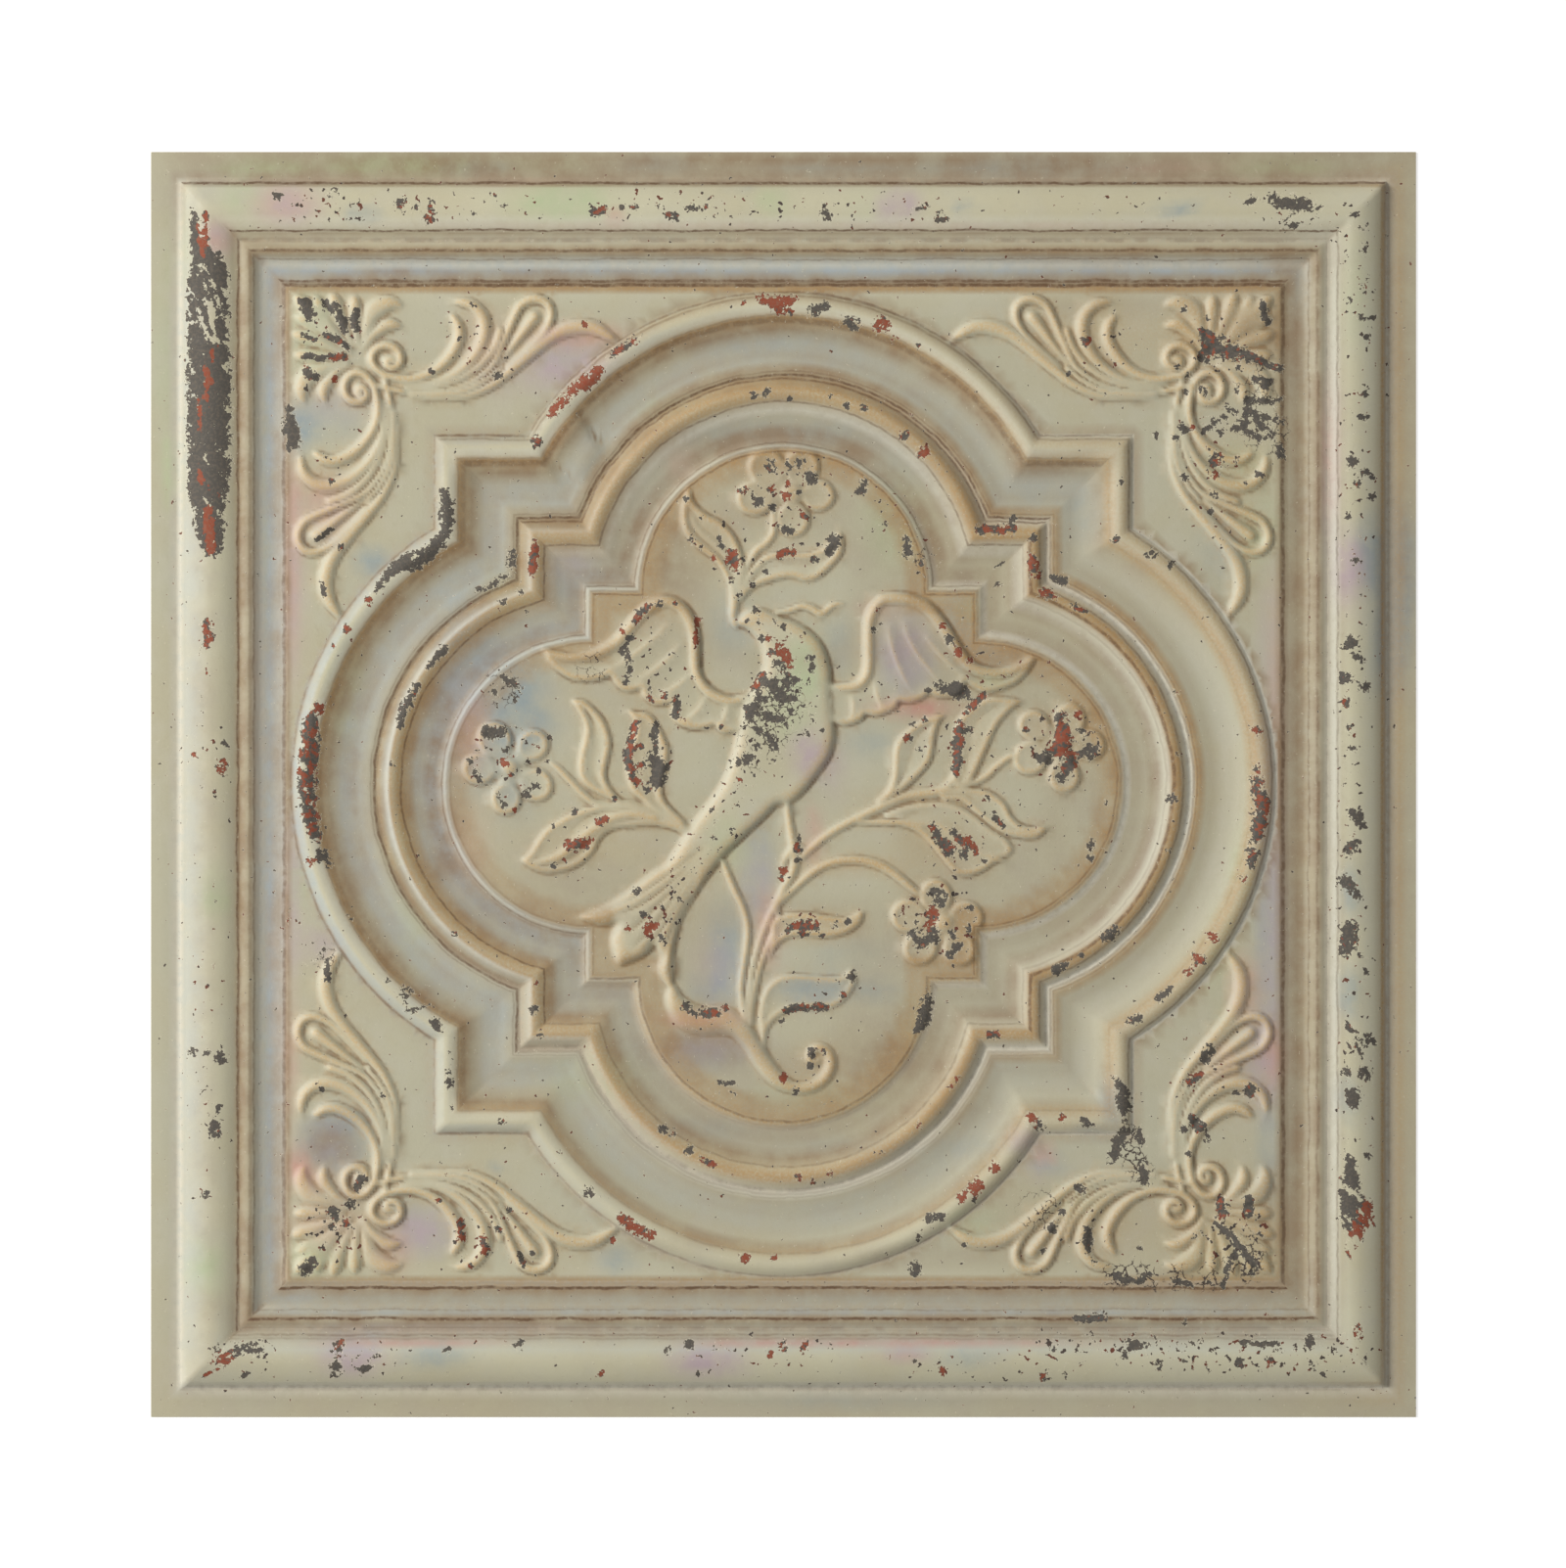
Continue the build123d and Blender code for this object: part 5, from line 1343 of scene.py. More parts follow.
def finish_maps(height):
    """Where the glaze gathers in creases, halos them, where crowns are rubbed pale, and a painted highlight
    on the slopes that face the lamp at the upper left, where the crease glaze is held back so that it also
    paints shade on the other side.
    """
    tight = blur(height, 0.9 / GRID)
    wide = blur(height, 3.0 / GRID)
    broad = blur(height, 9.0 / GRID)
    crease = np.clip((tight - height) * 3.2, 0, 1)
    halo = np.clip(blur(crease, 0.9 / GRID) * 1.6, 0, 1)
    crown = np.clip((height - wide) * 0.9, 0, 1)
    level = np.clip(0.5 + (height - broad) * 0.32, 0, 1)
    dy, dx = np.gradient(tight, GRID)
    # painted highlight: lighter paint on the slopes that face up and to the left, towards the lamp
    lit_side_highlight = blur(np.clip((0.95 * dx - 0.32 * dy - 0.12) * 1.6, 0, 1), 0.7 / GRID)
    # painted shade: the crease glaze is held back on those lit slopes, so that its dark lines stay on the
    # sides away from the lamp
    crease *= 1 - 0.7 * np.clip(2 * blur(lit_side_highlight, 1.2 / GRID), 0, 1)
    return crease, halo, crown, level, lit_side_highlight


def moulding_tones(x, y):
    """Umber, gilt and cool tones, and the pale of painted highlight, that run along the frame and round the
    quatrefoil.
    """
    ways = np.clip(np.array([-x, x, y, -y]) / np.maximum(np.hypot(x, y), 1e-6), 0, 1)
    edge = HALF - np.maximum(np.abs(x), np.abs(y))
    tones = {name: np.zeros(len(x)) for name in FRAME_BANDS}
    for table, distance, turn in ((FRAME_BANDS, edge, 14), (LOBE_BANDS, lobe_depth(x, y), 2)):
        shares = ways**turn / np.maximum(np.sum(ways**turn, axis=0), 1e-6)
        for name, bands in table.items():
            for middle, half, tenths in bands:
                level = sum(int(tenth) / 10 * share for tenth, share in zip(tenths, shares))
                tones[name] += level * smooth_step(1.5 - np.abs(distance - middle) / half, 0, 1)
    return [np.clip(tone, 0, 1) for tone in tones.values()]


def read(items, name, size=1, kind=np.float32):
    """One value, or a few, of every vertex, edge, face or corner of a mesh."""
    values = np.zeros(len(items) * size, kind)
    items.foreach_get(name, values)
    return values.reshape(-1, size) if size > 1 else values


def flat_map(mesh):
    """The sheet laid out flat for its textures: large face, small back, and strips for the cut edge."""
    large, small, gap = 0.745, 0.245, 0.003
    strips_from, strip_pitch = 0.3, 0.02
    x, y, z = read(mesh.vertices, "co", 3)[read(mesh.loops, "vertex_index", kind=np.int32)].T / MM
    corners = read(mesh.polygons, "loop_total", kind=np.int32)
    side = np.repeat(read(mesh.polygons, "normal", 3), corners, axis=0)
    u, v = x / (2 * HALF) + 0.5, y / (2 * HALF) + 0.5
    where = np.column_stack([gap + large * u, gap + large * v])
    back = side[:, 2] < 0
    where[back] = np.column_stack([large + 2 * gap + small * (1 - u), gap + small * v])[back]
    edge = (np.abs(side[:, 2]) < 0.01) & (np.maximum(np.abs(x), np.abs(y)) > HALF - 0.001)
    facing_x = np.abs(side[:, 0]) > 0.5
    strip = 2 * facing_x + (side[:, 0] + side[:, 1] > 0)
    along = large + 2 * gap + small * np.where(facing_x, v, u)
    where[edge] = np.column_stack([along, strips_from + strip_pitch * strip + strip_pitch / 2 * z])[edge]
    mesh.uv_layers.new(name="OFBake").data.foreach_set("uv", where.astype(np.float32).ravel())


def add_vector(mesh, name, x, y, z):
    layer = mesh.attributes.new(name, "FLOAT_VECTOR", "POINT")
    layer.data.foreach_set("vector", np.column_stack([x, y, z]).astype(np.float32).ravel())


def paint_colour(red, green, blue):
    """A paint's colour, as it is mixed from 0 to 255, as Blender's linear values."""
    out = []
    for c in (red, green, blue):
        c /= 255
        out.append(c / 12.92 if c <= 0.04045 else ((c + 0.055) / 1.055) ** 2.4)
    return (*out, 1.0)


class Value:
    """A value on its way through a material: adding or multiplying it adds the node that does so."""

    def __init__(self, nodes, socket):
        self.nodes, self.socket = nodes, socket

    def __add__(self, other):
        return self.nodes.math("ADD", self, other)

    def __sub__(self, other):
        return self.nodes.math("SUBTRACT", self, other)

    def __rsub__(self, other):
        return self.nodes.math("SUBTRACT", other, self)

    def __mul__(self, other):
        return self.nodes.math("MULTIPLY", self, other)


class Nodes:
    """Short calls for building a material's node tree."""

    def __init__(self, material):
        material.use_nodes = True
        self.tree = material.node_tree
        self.tree.nodes.clear()

    def add(self, kind, inputs=None, **settings):
        node = self.tree.nodes.new(kind)
        for key, value in settings.items():
            setattr(node, key, value)
        for key, value in (inputs or {}).items():
            if isinstance(value, Value):
                self.tree.links.new(value.socket, node.inputs[key])
            else:
                node.inputs[key].default_value = value
        return node

    def out(self, kind, inputs=None, output=0, **settings):
        return Value(self, self.add(kind, inputs, **settings).outputs[output])

    def split(self, vector):
        return [Value(self, socket) for socket in self.add("ShaderNodeSeparateXYZ", {0: vector}).outputs]

    def math(self, operation, a, b=0.0, clamp=False):
        return self.out("ShaderNodeMath", {0: a, 1: b}, operation=operation, use_clamp=clamp)

    def ramp(self, value, low, high, to_low=0.0, to_high=1.0):
        """A smooth step of a value between two levels."""
        inputs = {"Value": value, "From Min": low, "From Max": high, "To Min": to_low, "To Max": to_high}
        return self.out("ShaderNodeMapRange", inputs, interpolation_type="SMOOTHSTEP")

    def mix(self, amount, a, b):
        return self.out("ShaderNodeMix", {0: amount, 6: a, 7: b}, 2, data_type="RGBA")

    def noise(self, place, size, detail=3.0, roughness=0.55, shift=0.0, distortion=0.0):
        """Noise whose patches are about this many millimetres across."""
        away = (shift * 3.1, shift * 1.7, 0)
        moved = self.out("ShaderNodeVectorMath", {0: place, 1: away}, operation="ADD")
        inputs = {"Scale": 1 / size, "Detail": detail, "Roughness": roughness, "Distortion": distortion}
        return self.out("ShaderNodeTexNoise", {"Vector": moved, **inputs}, noise_dimensions="2D")

    def attribute(self, name, output="Vector"):
        return self.out("ShaderNodeAttribute", None, output, attribute_type="GEOMETRY", attribute_name=name)

    def millimetres(self):
        """Places on the tile, in millimetres."""
        place = self.out("ShaderNodeTexCoord", None, "Object")
        return self.out("ShaderNodeVectorMath", {0: place, "Scale": 1 / MM}, operation="SCALE")

    def surface(self, colour, roughness, film, depth, gloss):
        """The finished surface. Its film stands up by this many millimetres."""
        bump = self.out("ShaderNodeBump", {"Height": film, "Distance": depth * MM})
        inputs = {"Base Color": colour, "Roughness": roughness, "Normal": bump, "Specular IOR Level": gloss}
        self.add("ShaderNodeOutputMaterial", {"Surface": self.out("ShaderNodeBsdfPrincipled", inputs)})

    def seen_directly(self):
        """1 for what the camera, gloss or glass sees, and 0 for the light that falls on the tile."""
        path = self.add("ShaderNodeLightPath")
        camera, glossy, through = (
            Value(self, path.outputs[f"Is {ray} Ray"]) for ray in ("Camera", "Glossy", "Transmission")
        )
        return self.math("MAXIMUM", self.math("MAXIMUM", camera, glossy), through)


# Thin dark lines in the mouldings' creases: (distance in, half width, tenths on the left, right, top, bottom)
FRAME_LINES = [
    (14.9, 0.8, "0280"), (37.4, 0.6, "0482"), (39.2, 0.6, "0003"), (41.2, 0.6, "7111"), (46.8, 0.8, "2479"),
    (48.8, 0.5, "4000"), (50.8, 0.5, "1443"), (61, 0.9, "1189"), (62.9, 1.1, "6792"),
]
LOBE_LINES = [
    (-0.3, 0.6, "3042"), (1.6, 0.6, "0430"), (10.6, 0.6, "3132"), (12.8, 1.8, "3050"), (36.6, 0.5, "3332"),
    (38.3, 0.7, "7482"), (40.2, 0.6, "0060"), (43.4, 0.6, "0400"), (47.8, 1, "0700"), (51.2, 0.6, "6253"),
    (70.3, 0.5, "4041"), (72.6, 0.7, "2335"), (74.2, 0.6, "2450"),
]


def outline_distances(n, mm):
    """How far in from the edge of the tile, and how far inside the quatrefoil, a point of the face lies."""
    x, y, _ = n.split(mm)
    ax = n.math("ABSOLUTE", x)
    ay = n.math("ABSOLUTE", y)
    reach = n.math("MAXIMUM", ax, ay)
    edge = HALF - reach
    discs = []
    for along, across in ((ax, ay), (ay, ax)):
        off = along - LOBE_C
        discs.append(LOBE_R - n.math("SQRT", off * off + across * across))
    depth = n.math("MAXIMUM", BARB - reach, n.math("MAXIMUM", *discs))
    left = x * -1.0
    sides = {k: n.math("GREATER_THAN", *pair) for k, pair in enumerate(((left, ay), (x, ay), (y, ax)))}
    return edge, depth, n.out("ShaderNodeCombineXYZ", sides)


def crease_lines(n, mm, wander, patchy):
    """Thin broken lines of brown glaze that follow the mouldings' creases."""
    *distances, sides = outline_distances(n, mm)
    total = None
    for distance, rows in zip(distances, (FRAME_LINES, LOBE_LINES)):
        moved = distance + wander
        for middle, half, tenths in rows:
            left, right, top, bottom = (int(tenth) / 10 for tenth in tenths)
            off = n.math("ABSOLUTE", moved - middle)
            weights = (left - bottom, right - bottom, top - bottom)
            share = n.out("ShaderNodeVectorMath", {0: sides, 1: weights}, "Value", operation="DOT_PRODUCT")
            level = share + bottom
            line = n.ramp(off, half * 0.3, half * 1.3, 1.0, 0.0) * level
            total = line if total is None else n.math("MAXIMUM", total, line)
    return total * n.ramp(patchy, 0.3, 0.6, 0.45, 1.0)


def shade(name):
    return paint_colour(*SHADES[name])


def painted_face(settings):
    """Aged paint on the sheet: cream washes, brown glaze and painted shade in the creases, painted
    highlights, chips down to slate and red.
    """
    material = bpy.data.materials.new("aged_paint")
    n = Nodes(material)
    mm = n.millimetres()
    crease, halo, crown = n.split(n.attribute("glaze"))
    chip, rust, fine = n.split(n.attribute("chips"))
    rose, sky, sage = n.split(n.attribute("wash"))
    lilac, crack, level = n.split(n.attribute("veil"))
    umber, gilt, pale = n.split(n.attribute("tone"))
    cool = n.attribute("cool", "Fac")

    broad = n.noise(mm, 60, 2, 0.5)
    cloud = n.noise(mm, 17, 4, 0.6, shift=31)
    grain = n.noise(mm, 4.5, 4, 0.62, shift=77)
    dust = n.noise(mm, 1.3, 3, 0.65, shift=5)
    patchy = n.noise(mm, 12, 3, 0.6, shift=11)
    streak = n.noise(mm, 2.4, 3, 0.6, shift=57)

    # Body colour: greyer in the hollows, creamier on what stands up
    body = n.mix(level, (*settings.hollow_colour, 1), (*settings.cream_colour, 1))
    body = n.mix(n.ramp(broad, 0.3, 0.72, 0, 0.4), body, (*settings.beige_colour, 1))
    body = n.mix(n.ramp(cloud, 0.42, 0.74, 0, 0.3), body, shade("pale cloud"))
    body = n.mix(n.ramp(grain, 0.55, 0.8, 0, 0.1), body, shade("grime"))
    body = n.mix(crown * 0.5, body, shade("rubbed crown"))

    # Washes, each broken up by its own cloud
    thick = n.ramp(patchy, 0.25, 0.7, 0.55, 1.0)
    thin = n.ramp(patchy, 0.3, 0.75, 1.0, 0.55)
    for amount, colour, cover in (
        (sky, settings.sky_colour, thick),
        (sage, settings.sage_colour, thin),
        (lilac, settings.lilac_colour, thick),
        (rose, settings.rose_colour, thin),
        (cool, settings.cool_colour, thick),
    ):
        body = n.mix(n.math("MULTIPLY", amount, cover, clamp=True), body, (*colour, 1))

    # Tan glaze beside the creases, darker lines of glaze and painted shade in them, the tones that follow the
    # mouldings, and their painted highlights
    tan = halo * n.ramp(grain, 0.36, 0.62, 0.2, 1.0)
    body = n.mix(n.math("MULTIPLY", tan, 0.45, clamp=True), body, (*settings.gold_colour, 1))
    rims = n.ramp(crown, 0.1, 0.7) * n.ramp(dust, 0.3, 0.62, 0.3, 1.0)
    body = n.mix(rims * 0.7, body, shade("tan rim"))
    # crease glaze, held back on the slopes that face the lamp: glaze and painted shade
    lines = n.ramp(crease, 0.15, 0.8) * n.ramp(patchy, 0.36, 0.6, 0.35, 1.0)
    body = n.mix(n.math("MULTIPLY", lines, 0.62, clamp=True), body, (*settings.glaze_colour, 1))
    body = n.mix(umber * n.ramp(cloud, 0.3, 0.7, 0.45, 0.8), body, shade("umber"))
    rubbed = gilt * n.ramp(dust, 0.3, 0.65, 0.5, 1.0)
    body = n.mix(rubbed * 0.8, body, (*settings.gilt_colour, 1))
    # painted highlight on the faces that catch the lamp
    painted_highlight = pale * n.ramp(grain, 0.34, 0.6, 0.7, 1.0)
    body = n.mix(painted_highlight * 0.85, body, shade("painted highlight"))
    wander = (cloud - 0.5) * 2.2
    wander = wander + (streak - 0.5) * 0.5
    body = n.mix(crease_lines(n, mm, wander, grain), body, shade("crease line"))

    # Dust specks and pale rubbed flecks
    specks = n.ramp(dust, 0.69, 0.74) * n.ramp(halo - crown, 0.1, 0.6, 0.05, 0.5)
    body = n.mix(specks, body, shade("speck"))
    flecks = n.ramp(n.noise(mm, 1.7, 3, 0.7, shift=93), 0.62, 0.68) * n.ramp(crown, 0.02, 0.3, 0.04, 0.2)
    body = n.mix(flecks, body, shade("fleck"))

    # Chips: the painted-on shapes with their edges broken into flakes, and scattered flakes
    ragged = n.noise(mm, 4.2, 3, 0.62, shift=140)
    torn = n.noise(mm, 1.5, 2, 0.6, shift=171)
    drift = n.out("ShaderNodeCombineXYZ", {0: ragged * 5.0, 1: torn * 3.0})
    bent = n.out("ShaderNodeVectorMath", {0: mm, 1: drift}, operation="ADD")
    flat = {"voronoi_dimensions": "2D"}
    flake = n.out("ShaderNodeTexVoronoi", {"Vector": bent, "Scale": 0.42}, "Color", feature="F1", **flat)
    rough = (n.split(flake)[0] - 0.5) * 0.36
    rough = rough + (ragged - 0.5) * 0.8
    rough = rough + (torn - 0.5) * 1.0
    rough = rough - n.ramp(n.noise(mm, 3.6, 3, 0.6, shift=260), 0.58, 0.68, 0.0, 0.34)
    # away from a chip's own shape nothing breaks through
    shapes = chip + rough * n.ramp(chip, 0.0, 0.3)
    flakes = n.noise(mm, 3.4, 3, 0.55, shift=205)
    scattered = flakes + fine * 0.15
    web = {"Vector": bent, "Scale": 0.21}
    web = n.out("ShaderNodeTexVoronoi", web, "Distance", feature="DISTANCE_TO_EDGE", **flat)
    open_by = crack * 0.11 - web
    cracked = n.ramp(open_by, -0.01, 0.02) * n.ramp(patchy, 0.42, 0.52)
    edge = n.math("MAXIMUM", n.ramp(shapes, 0.48, 0.53), n.ramp(scattered, 0.735, 0.755))
    bare = n.math("MAXIMUM", edge, cracked * n.ramp(crack, 0.1, 0.3))
    lifted = n.math("MAXIMUM", n.ramp(shapes, 0.34, 0.46), n.ramp(scattered, 0.71, 0.735))
    rim = n.math("SUBTRACT", lifted, bare, clamp=True)
    body = n.mix(rim * 0.5, body, shade("lifted edge"))
    redness = rust + (n.noise(mm, 3.2, 2, 0.6, shift=301) - 0.5) * 1.5
    stray_red = n.ramp(n.noise(mm, 9, 2, 0.5, shift=333), 0.5, 0.56) * 0.7
    stray_red = stray_red * (1.0 - n.ramp(n.math("MAXIMUM", chip, crack), 0.2, 0.4))
    redness = n.ramp(n.math("MAXIMUM", redness, stray_red), 0.44, 0.56)
    under = n.mix(redness, (*settings.undercoat_colour, 1), (*settings.primer_colour, 1))
    under = n.mix(n.ramp(torn, 0.42, 0.7, 0, 0.3), under, shade("worn undercoat"))
    under = n.mix(n.ramp(shapes, 0.5, 0.6, 0.6, 0.0), under, shade("chip's shadow"))
    colour = n.mix(bare, body, under)

    # Relief of the paint film: a step down at each chip, brush grain and fine pits
    film = n.ramp(shapes, 0.46, 0.54) * -1.6
    film = film + grain * 0.5
    film = film + dust * 0.3
    roughness = n.ramp(grain + bare * 0.4, 0.3, 1.0, 0.52, 0.8)
    n.surface(colour, roughness, film, depth=0.14, gloss=0.32)
    return material


def bare_back(settings):
    """The plain unpainted plastic of the back and the cut edge."""
    material = bpy.data.materials.new("bare_plastic")
    n = Nodes(material)
    mm = n.millimetres()
    cloud = n.noise(mm, 70, 4, 0.55)
    grain = n.noise(mm, 1.1, 3, 0.6, shift=9)
    scuffs = n.noise(mm, 22, 6, 0.7, shift=41, distortion=1.2)
    colour = n.mix(n.ramp(cloud, 0.3, 0.7, 0, 0.5), (*settings.back_colour, 1), shade("dull plastic"))
    colour = n.mix(n.ramp(scuffs, 0.6, 0.72, 0, 0.3), colour, shade("scuff"))
    n.surface(colour, n.ramp(scuffs, 0.3, 0.8, 0.42, 0.6), grain, depth=0.03, gloss=0.4)
    return material


def studio_floor(settings):
    """White paper: white to the camera and to gloss, and still darkened by the tile's shadow."""
    material = bpy.data.materials.new("studio_paper")
    n = Nodes(material)
    seen = n.seen_directly()
    paper = n.out("ShaderNodeBsdfDiffuse", {"Color": (*settings.floor_colour, 1)})
    glow = n.out("ShaderNodeEmission", {"Color": (1, 1, 1, 1), "Strength": settings.floor_white})
    dark = n.out("ShaderNodeEmission", {"Color": (0, 0, 0, 1), "Strength": 0.0})
    lift = n.out("ShaderNodeMixShader", {0: seen, 1: dark, 2: glow})
    n.add("ShaderNodeOutputMaterial", {"Surface": n.out("ShaderNodeAddShader", {0: paper, 1: lift})})
    return material


def studio_world(settings):
    """Soft even surroundings, plain white where the camera sees them."""
    world = bpy.data.worlds.new("studio")
    n = Nodes(world)
    seen = n.seen_directly()
    soft = n.out("ShaderNodeBackground", {"Color": (1, 1, 1, 1), "Strength": settings.fill_light})
    white = n.out("ShaderNodeBackground", {"Color": (1, 1, 1, 1), "Strength": 1.0})
    n.add("ShaderNodeOutputWorld", {"Surface": n.out("ShaderNodeMixShader", {0: seen, 1: soft, 2: white})})
    bpy.context.scene.world = world


def lamp(name, place, size, watts, colour):
    """A square lamp that shines at the tile's middle."""
    data = bpy.data.lights.new(name, "AREA")
    data.shape = "SQUARE"
    data.size = size
    data.energy = watts
    data.color = colour
    item = bpy.data.objects.new(name, data)
    item.location = place
    item.rotation_euler = (-Vector(place)).to_track_quat("-Z", "Y").to_euler()
    bpy.context.scene.collection.objects.link(item)


def colour_prop(name, text, rgb):
    return FloatVectorProperty(
        name=name, description=text, subtype="COLOR", size=3, min=0, max=1, default=paint_colour(*rgb)[:3]
    )


class CeilingTileSheet(bpy.types.PropertyGroup):
    """Sizes of the formed sheet."""

    thickness: FloatProperty(
        name="Thickness", description="Thickness of the plastic sheet",
        default=1.0 * MM, unit="LENGTH", min=0.0003,
    )


class CeilingTilePaint(bpy.types.PropertyGroup):
    """Colours of the finish."""

    cream_colour: colour_prop("Cream", "Body colour on what stands up", (198, 193, 165))
    beige_colour: colour_prop("Beige", "Broad clouds in the body colour", (182, 172, 140))
    hollow_colour: colour_prop("Hollow", "Body colour in the hollows", (175, 172, 150))
    gold_colour: colour_prop("Tan glaze", "Glaze rubbed along the edges of the relief", (186, 154, 106))
    # the brown glaze also paints shade on the sides of the creases away from the lamp
    glaze_colour: colour_prop("Brown glaze", "Glaze left in the creases", (104, 76, 50))
    gilt_colour: colour_prop("Gilt", "Dull gold rubbed along the mouldings", (178, 140, 86))
    sky_colour: colour_prop("Sky wash", "Blue-grey wash", (148, 160, 160))
    sage_colour: colour_prop("Sage wash", "Pale green wash", (178, 188, 150))
    lilac_colour: colour_prop("Lilac wash", "Pale violet wash", (180, 162, 166))
    rose_colour: colour_prop("Rose wash", "Pale pink wash", (196, 146, 134))
    cool_colour: colour_prop("Cool shade", "Grey-blue glaze in the coves", (166, 180, 186))
    undercoat_colour: colour_prop("Undercoat", "Dark coat under the paint", (84, 80, 74))
    primer_colour: colour_prop("Red primer", "Primer that shows in some chips", (142, 74, 52))
    back_colour: colour_prop("Back", "Plain plastic of the back", (190, 186, 176))


class CeilingTileStage(bpy.types.PropertyGroup):
    """Floor, lamps and camera."""

    floor_colour: colour_prop("Floor", "Paper that the tile lies on", (236, 235, 232))
    floor_white: FloatProperty(
        name="Floor white", description="How far the paper is lifted to white", default=0.62, min=0, max=1
    )
    fill_light: FloatProperty(
        name="Fill", description="Strength of the even light from all round", default=0.25, min=0
    )
    key_watts: FloatProperty(
        name="Key", description="Power of the lamp at the left, in watts", default=181.0, min=0
    )
    camera_height: FloatProperty(
        name="Camera height", description="Camera above the floor", default=4.0, unit="LENGTH", min=1.0
    )
    view_width: FloatProperty(
        name="View width", description="Width of the floor that the picture takes in",
        default=0.7374, unit="LENGTH", min=0.1,
    )


class CEILINGTILE_OT_sheet(bpy.types.Operator):
    """Form the ceiling tile's sheet with its mouldings and relief"""

    bl_idname = "ceilingtile.sheet"
    bl_label = "Form the sheet"

    def execute(self, context):
        settings = context.scene.ceiling_tile_sheet
        sheet, split, height, paint = build_sheet(settings.thickness / MM)
        mesh = sheet.mesh("formed_sheet", split)
        low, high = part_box(NODE)
        co = read(mesh.vertices, "co", 3)
        if (co.min(axis=0) < np.array(low) - 1e-6).any() or (co.max(axis=0) > np.array(high) + 5e-5).any():
            raise RuntimeError("the sheet is larger than the tile's own box")
        flat_map(mesh)
        # the cut edge stays crisp
        ends = co[read(mesh.edges, "vertices", 2, np.int32)]
        at_rim = (np.abs(ends[:, :, :2]).max(axis=2) > (HALF - 1e-3) * MM).all(axis=1)
        flat = np.abs(ends[:, 0, 2] - ends[:, 1, 2]) < 1e-6
        at_corner = (np.abs(ends[:, :, :2]).min(axis=2) > (HALF - 1e-3) * MM).all(axis=1)
        sharp = mesh.attributes.new("sharp_edge", "BOOLEAN", "EDGE")
        sharp.data.foreach_set("value", at_rim & (flat | at_corner))
        self.paint(mesh, height, paint, co[:, 0] / MM, co[:, 1] / MM)
        piece = bpy.data.objects.new("formed_tile", mesh)
        context.scene.collection.objects.link(piece)
        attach(piece, "root")
        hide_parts(NODE)
        return {"FINISHED"}

    @staticmethod
    def paint(mesh, height, paint, x, y):
        """Puts where the paint is worn, washed or chipped, and where light and shade are painted, on the
        mesh, for the finish to read.
        """
        crease, halo, crown, level, lit_side_highlight = (face_map(m, x, y) for m in finish_maps(height))
        # the mouldings have tones of their own
        ornament = np.where((field_depth(x, y) > 0.5) | (plate_depth(x, y) > 0.5), 1.0, 0.25)
        washes = [paint.wash(rows) for rows in (ROSE, SKY, SAGE, LILAC, UMBER, OCHRE)]
        rose, sky, sage, lilac, umber, ochre = (paint.read(m, x, y) for m in washes)
        wear = (paint.chip, paint.rust, paint.fine, paint.crack)
        chip, rust, fine, crack = (paint.read(m, x, y) for m in wear)
        brown, gilt, cool, pale = moulding_tones(x, y)
        brown = np.clip(umber + brown, 0, 1)
        gilt = np.clip(ochre * (0.4 + 0.6 * level) + gilt, 0, 1)
        # the pale tone is painted highlight, from the mouldings' bands and from the ornament's lit slopes
        pale = np.clip(pale + 0.48 * lit_side_highlight * (ornament > 0.5), 0, 1)
        # the glaze's crease channel is crease glaze and painted shade
        add_vector(mesh, "glaze", crease, halo, crown * ornament)
        add_vector(mesh, "chips", chip, rust, fine)
        add_vector(mesh, "wash", rose, sky, sage)
        add_vector(mesh, "veil", lilac, crack, level)
        add_vector(mesh, "tone", brown, gilt, pale)
        mesh.attributes.new("cool", "FLOAT", "POINT").data.foreach_set("value", cool.astype(np.float32))


class CEILINGTILE_OT_finish(bpy.types.Operator):
    """Give the sheet its aged paint and its plain back"""

    bl_idname = "ceilingtile.finish"
    bl_label = "Paint the sheet"

    def execute(self, context):
        piece = bpy.data.objects.get("formed_tile")
        if piece is None:
            raise RuntimeError("form the sheet first")
        settings = context.scene.ceiling_tile_paint
        piece.data.materials.append(painted_face(settings))
        piece.data.materials.append(bare_back(settings))
        return {"FINISHED"}


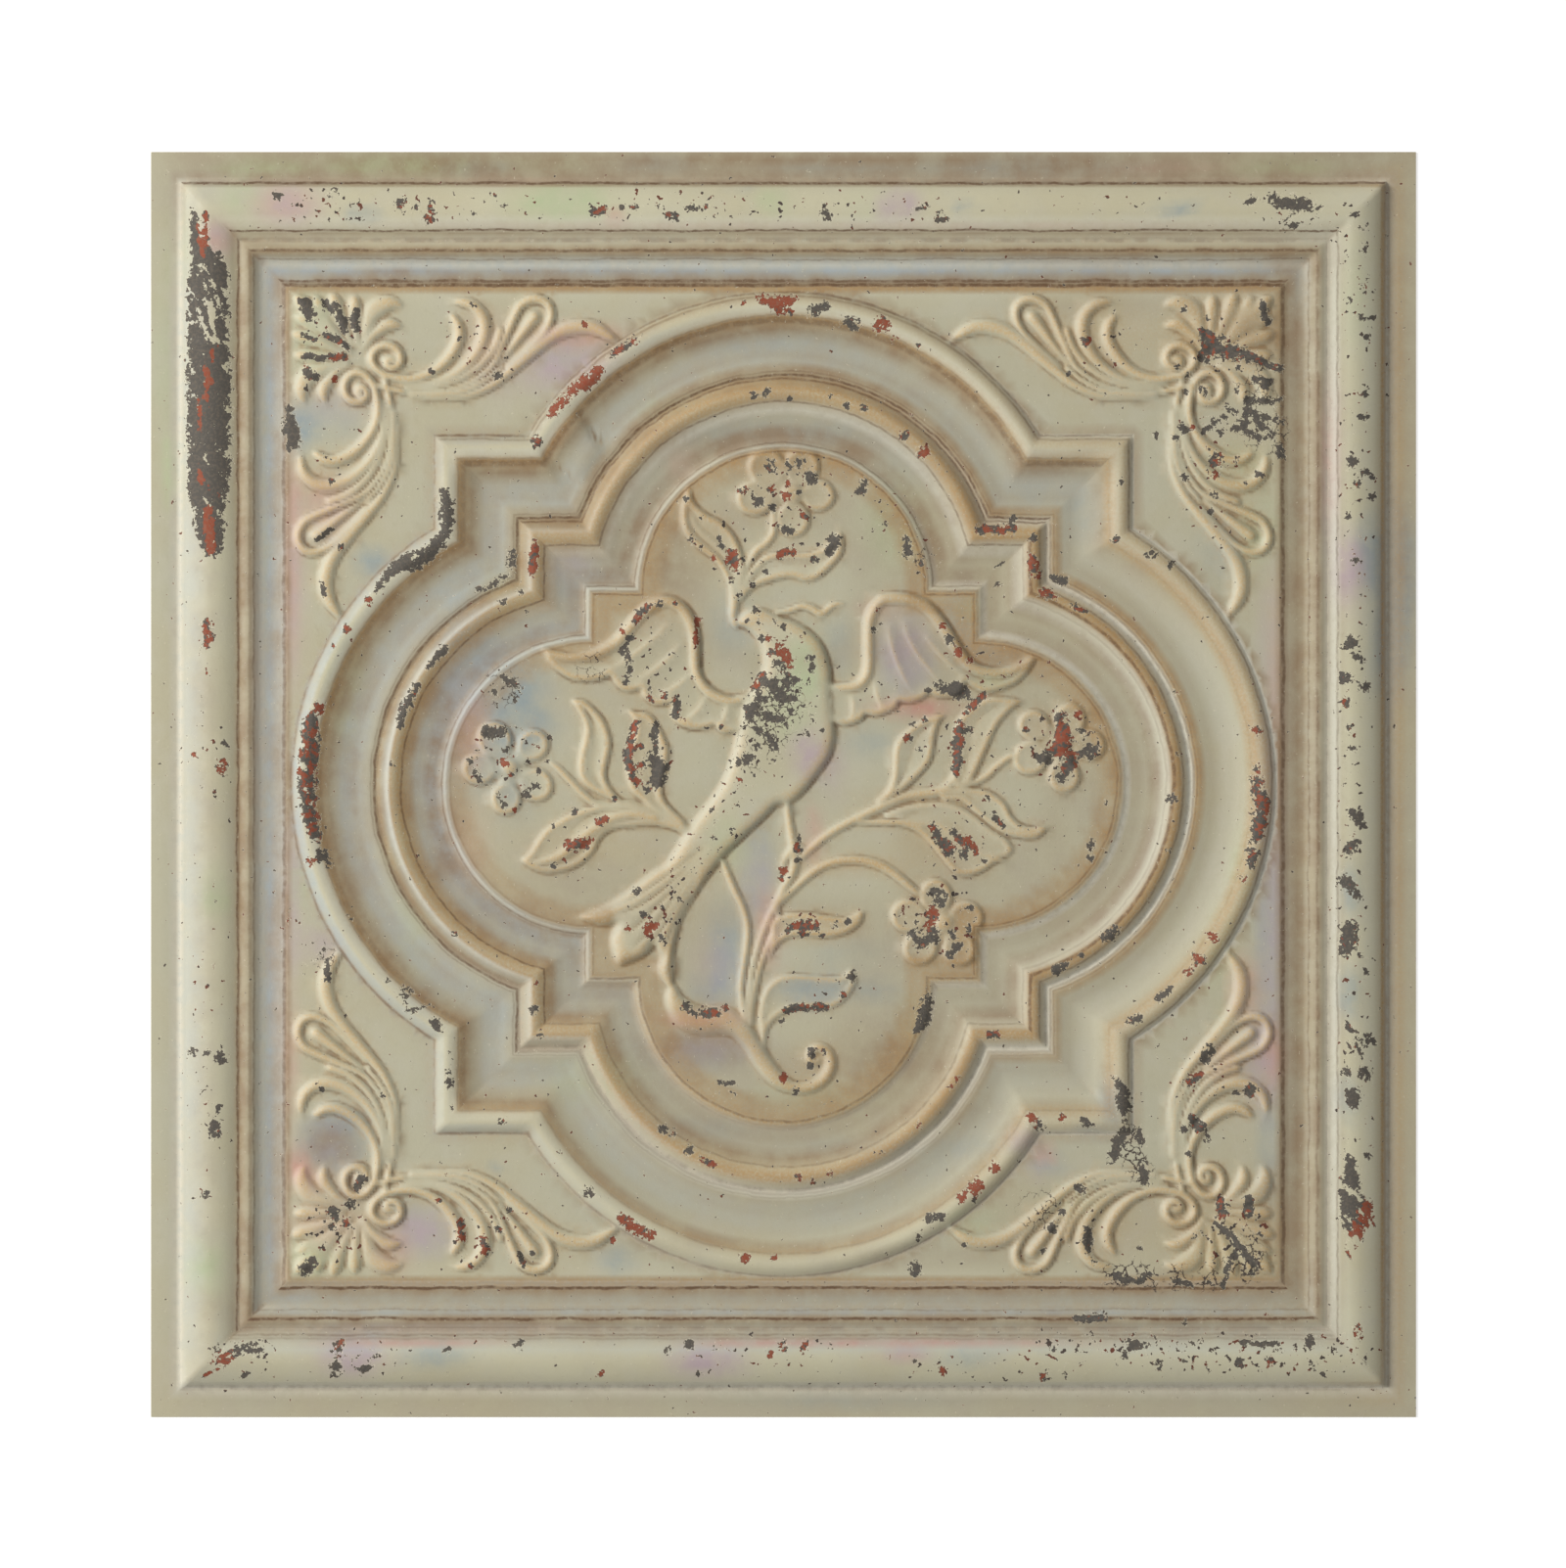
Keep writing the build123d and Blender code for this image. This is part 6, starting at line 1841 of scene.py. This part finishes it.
class CEILINGTILE_OT_stage(bpy.types.Operator):
    """Set the floor, the lamps and the camera"""

    bl_idname = "ceilingtile.stage"
    bl_label = "Set the stage"

    def execute(self, context):
        settings = context.scene.ceiling_tile_stage
        mesh = bpy.data.meshes.new("paper")
        r = PAPER_REACH
        mesh.from_pydata([(-r, -r, 0), (r, -r, 0), (r, r, 0), (-r, r, 0)], [], [(0, 1, 2, 3)])
        floor = bpy.data.objects.new("studio_floor", mesh)
        floor.location.z = PAPER_Z
        mesh.materials.append(studio_floor(settings))
        context.scene.collection.objects.link(floor)
        studio_world(settings)
        lamp("key_left", KEY_PLACE, KEY_SIZE, settings.key_watts, KEY_COLOUR)
        data = bpy.data.cameras.new("above")
        data.sensor_width = SENSOR_WIDTH
        data.lens = SENSOR_WIDTH * (settings.camera_height - MM) / settings.view_width
        data.clip_end = 50
        camera = bpy.data.objects.new("above", data)
        camera.location = (*CAMERA_OFF, settings.camera_height)
        context.scene.collection.objects.link(camera)
        context.scene.camera = camera
        context.scene.view_settings.view_transform = "Standard"
        return {"FINISHED"}


class CEILINGTILE_PT_panel(bpy.types.Panel):
    """The tile's steps and settings"""

    bl_idname = "CEILINGTILE_PT_panel"
    bl_label = "Ceiling Tile"
    bl_space_type = "VIEW_3D"
    bl_region_type = "UI"
    bl_category = "Ceiling Tile"

    def draw(self, context):
        scene = context.scene
        for title, group, operator in (
            ("Sheet", scene.ceiling_tile_sheet, CEILINGTILE_OT_sheet),
            ("Paint", scene.ceiling_tile_paint, CEILINGTILE_OT_finish),
            ("Stage", scene.ceiling_tile_stage, CEILINGTILE_OT_stage),
        ):
            box = self.layout.box()
            box.label(text=title)
            for name in group.__annotations__:
                box.prop(group, name)
            box.operator(operator.bl_idname)


CLASSES = (
    CeilingTileSheet,
    CeilingTilePaint,
    CeilingTileStage,
    CEILINGTILE_OT_sheet,
    CEILINGTILE_OT_finish,
    CEILINGTILE_OT_stage,
    CEILINGTILE_PT_panel,
)


def register():
    for item in CLASSES:
        bpy.utils.register_class(item)
    bpy.types.Scene.ceiling_tile_sheet = PointerProperty(type=CeilingTileSheet)
    bpy.types.Scene.ceiling_tile_paint = PointerProperty(type=CeilingTilePaint)
    bpy.types.Scene.ceiling_tile_stage = PointerProperty(type=CeilingTileStage)


def unregister():
    del bpy.types.Scene.ceiling_tile_sheet
    del bpy.types.Scene.ceiling_tile_paint
    del bpy.types.Scene.ceiling_tile_stage
    for item in reversed(CLASSES):
        bpy.utils.unregister_class(item)


def main():
    register()
    bpy.ops.ceilingtile.sheet()
    bpy.ops.ceilingtile.finish()
    bpy.ops.ceilingtile.stage()
    bpy.context.view_layer.update()


if __name__ == "__main__":
    main()
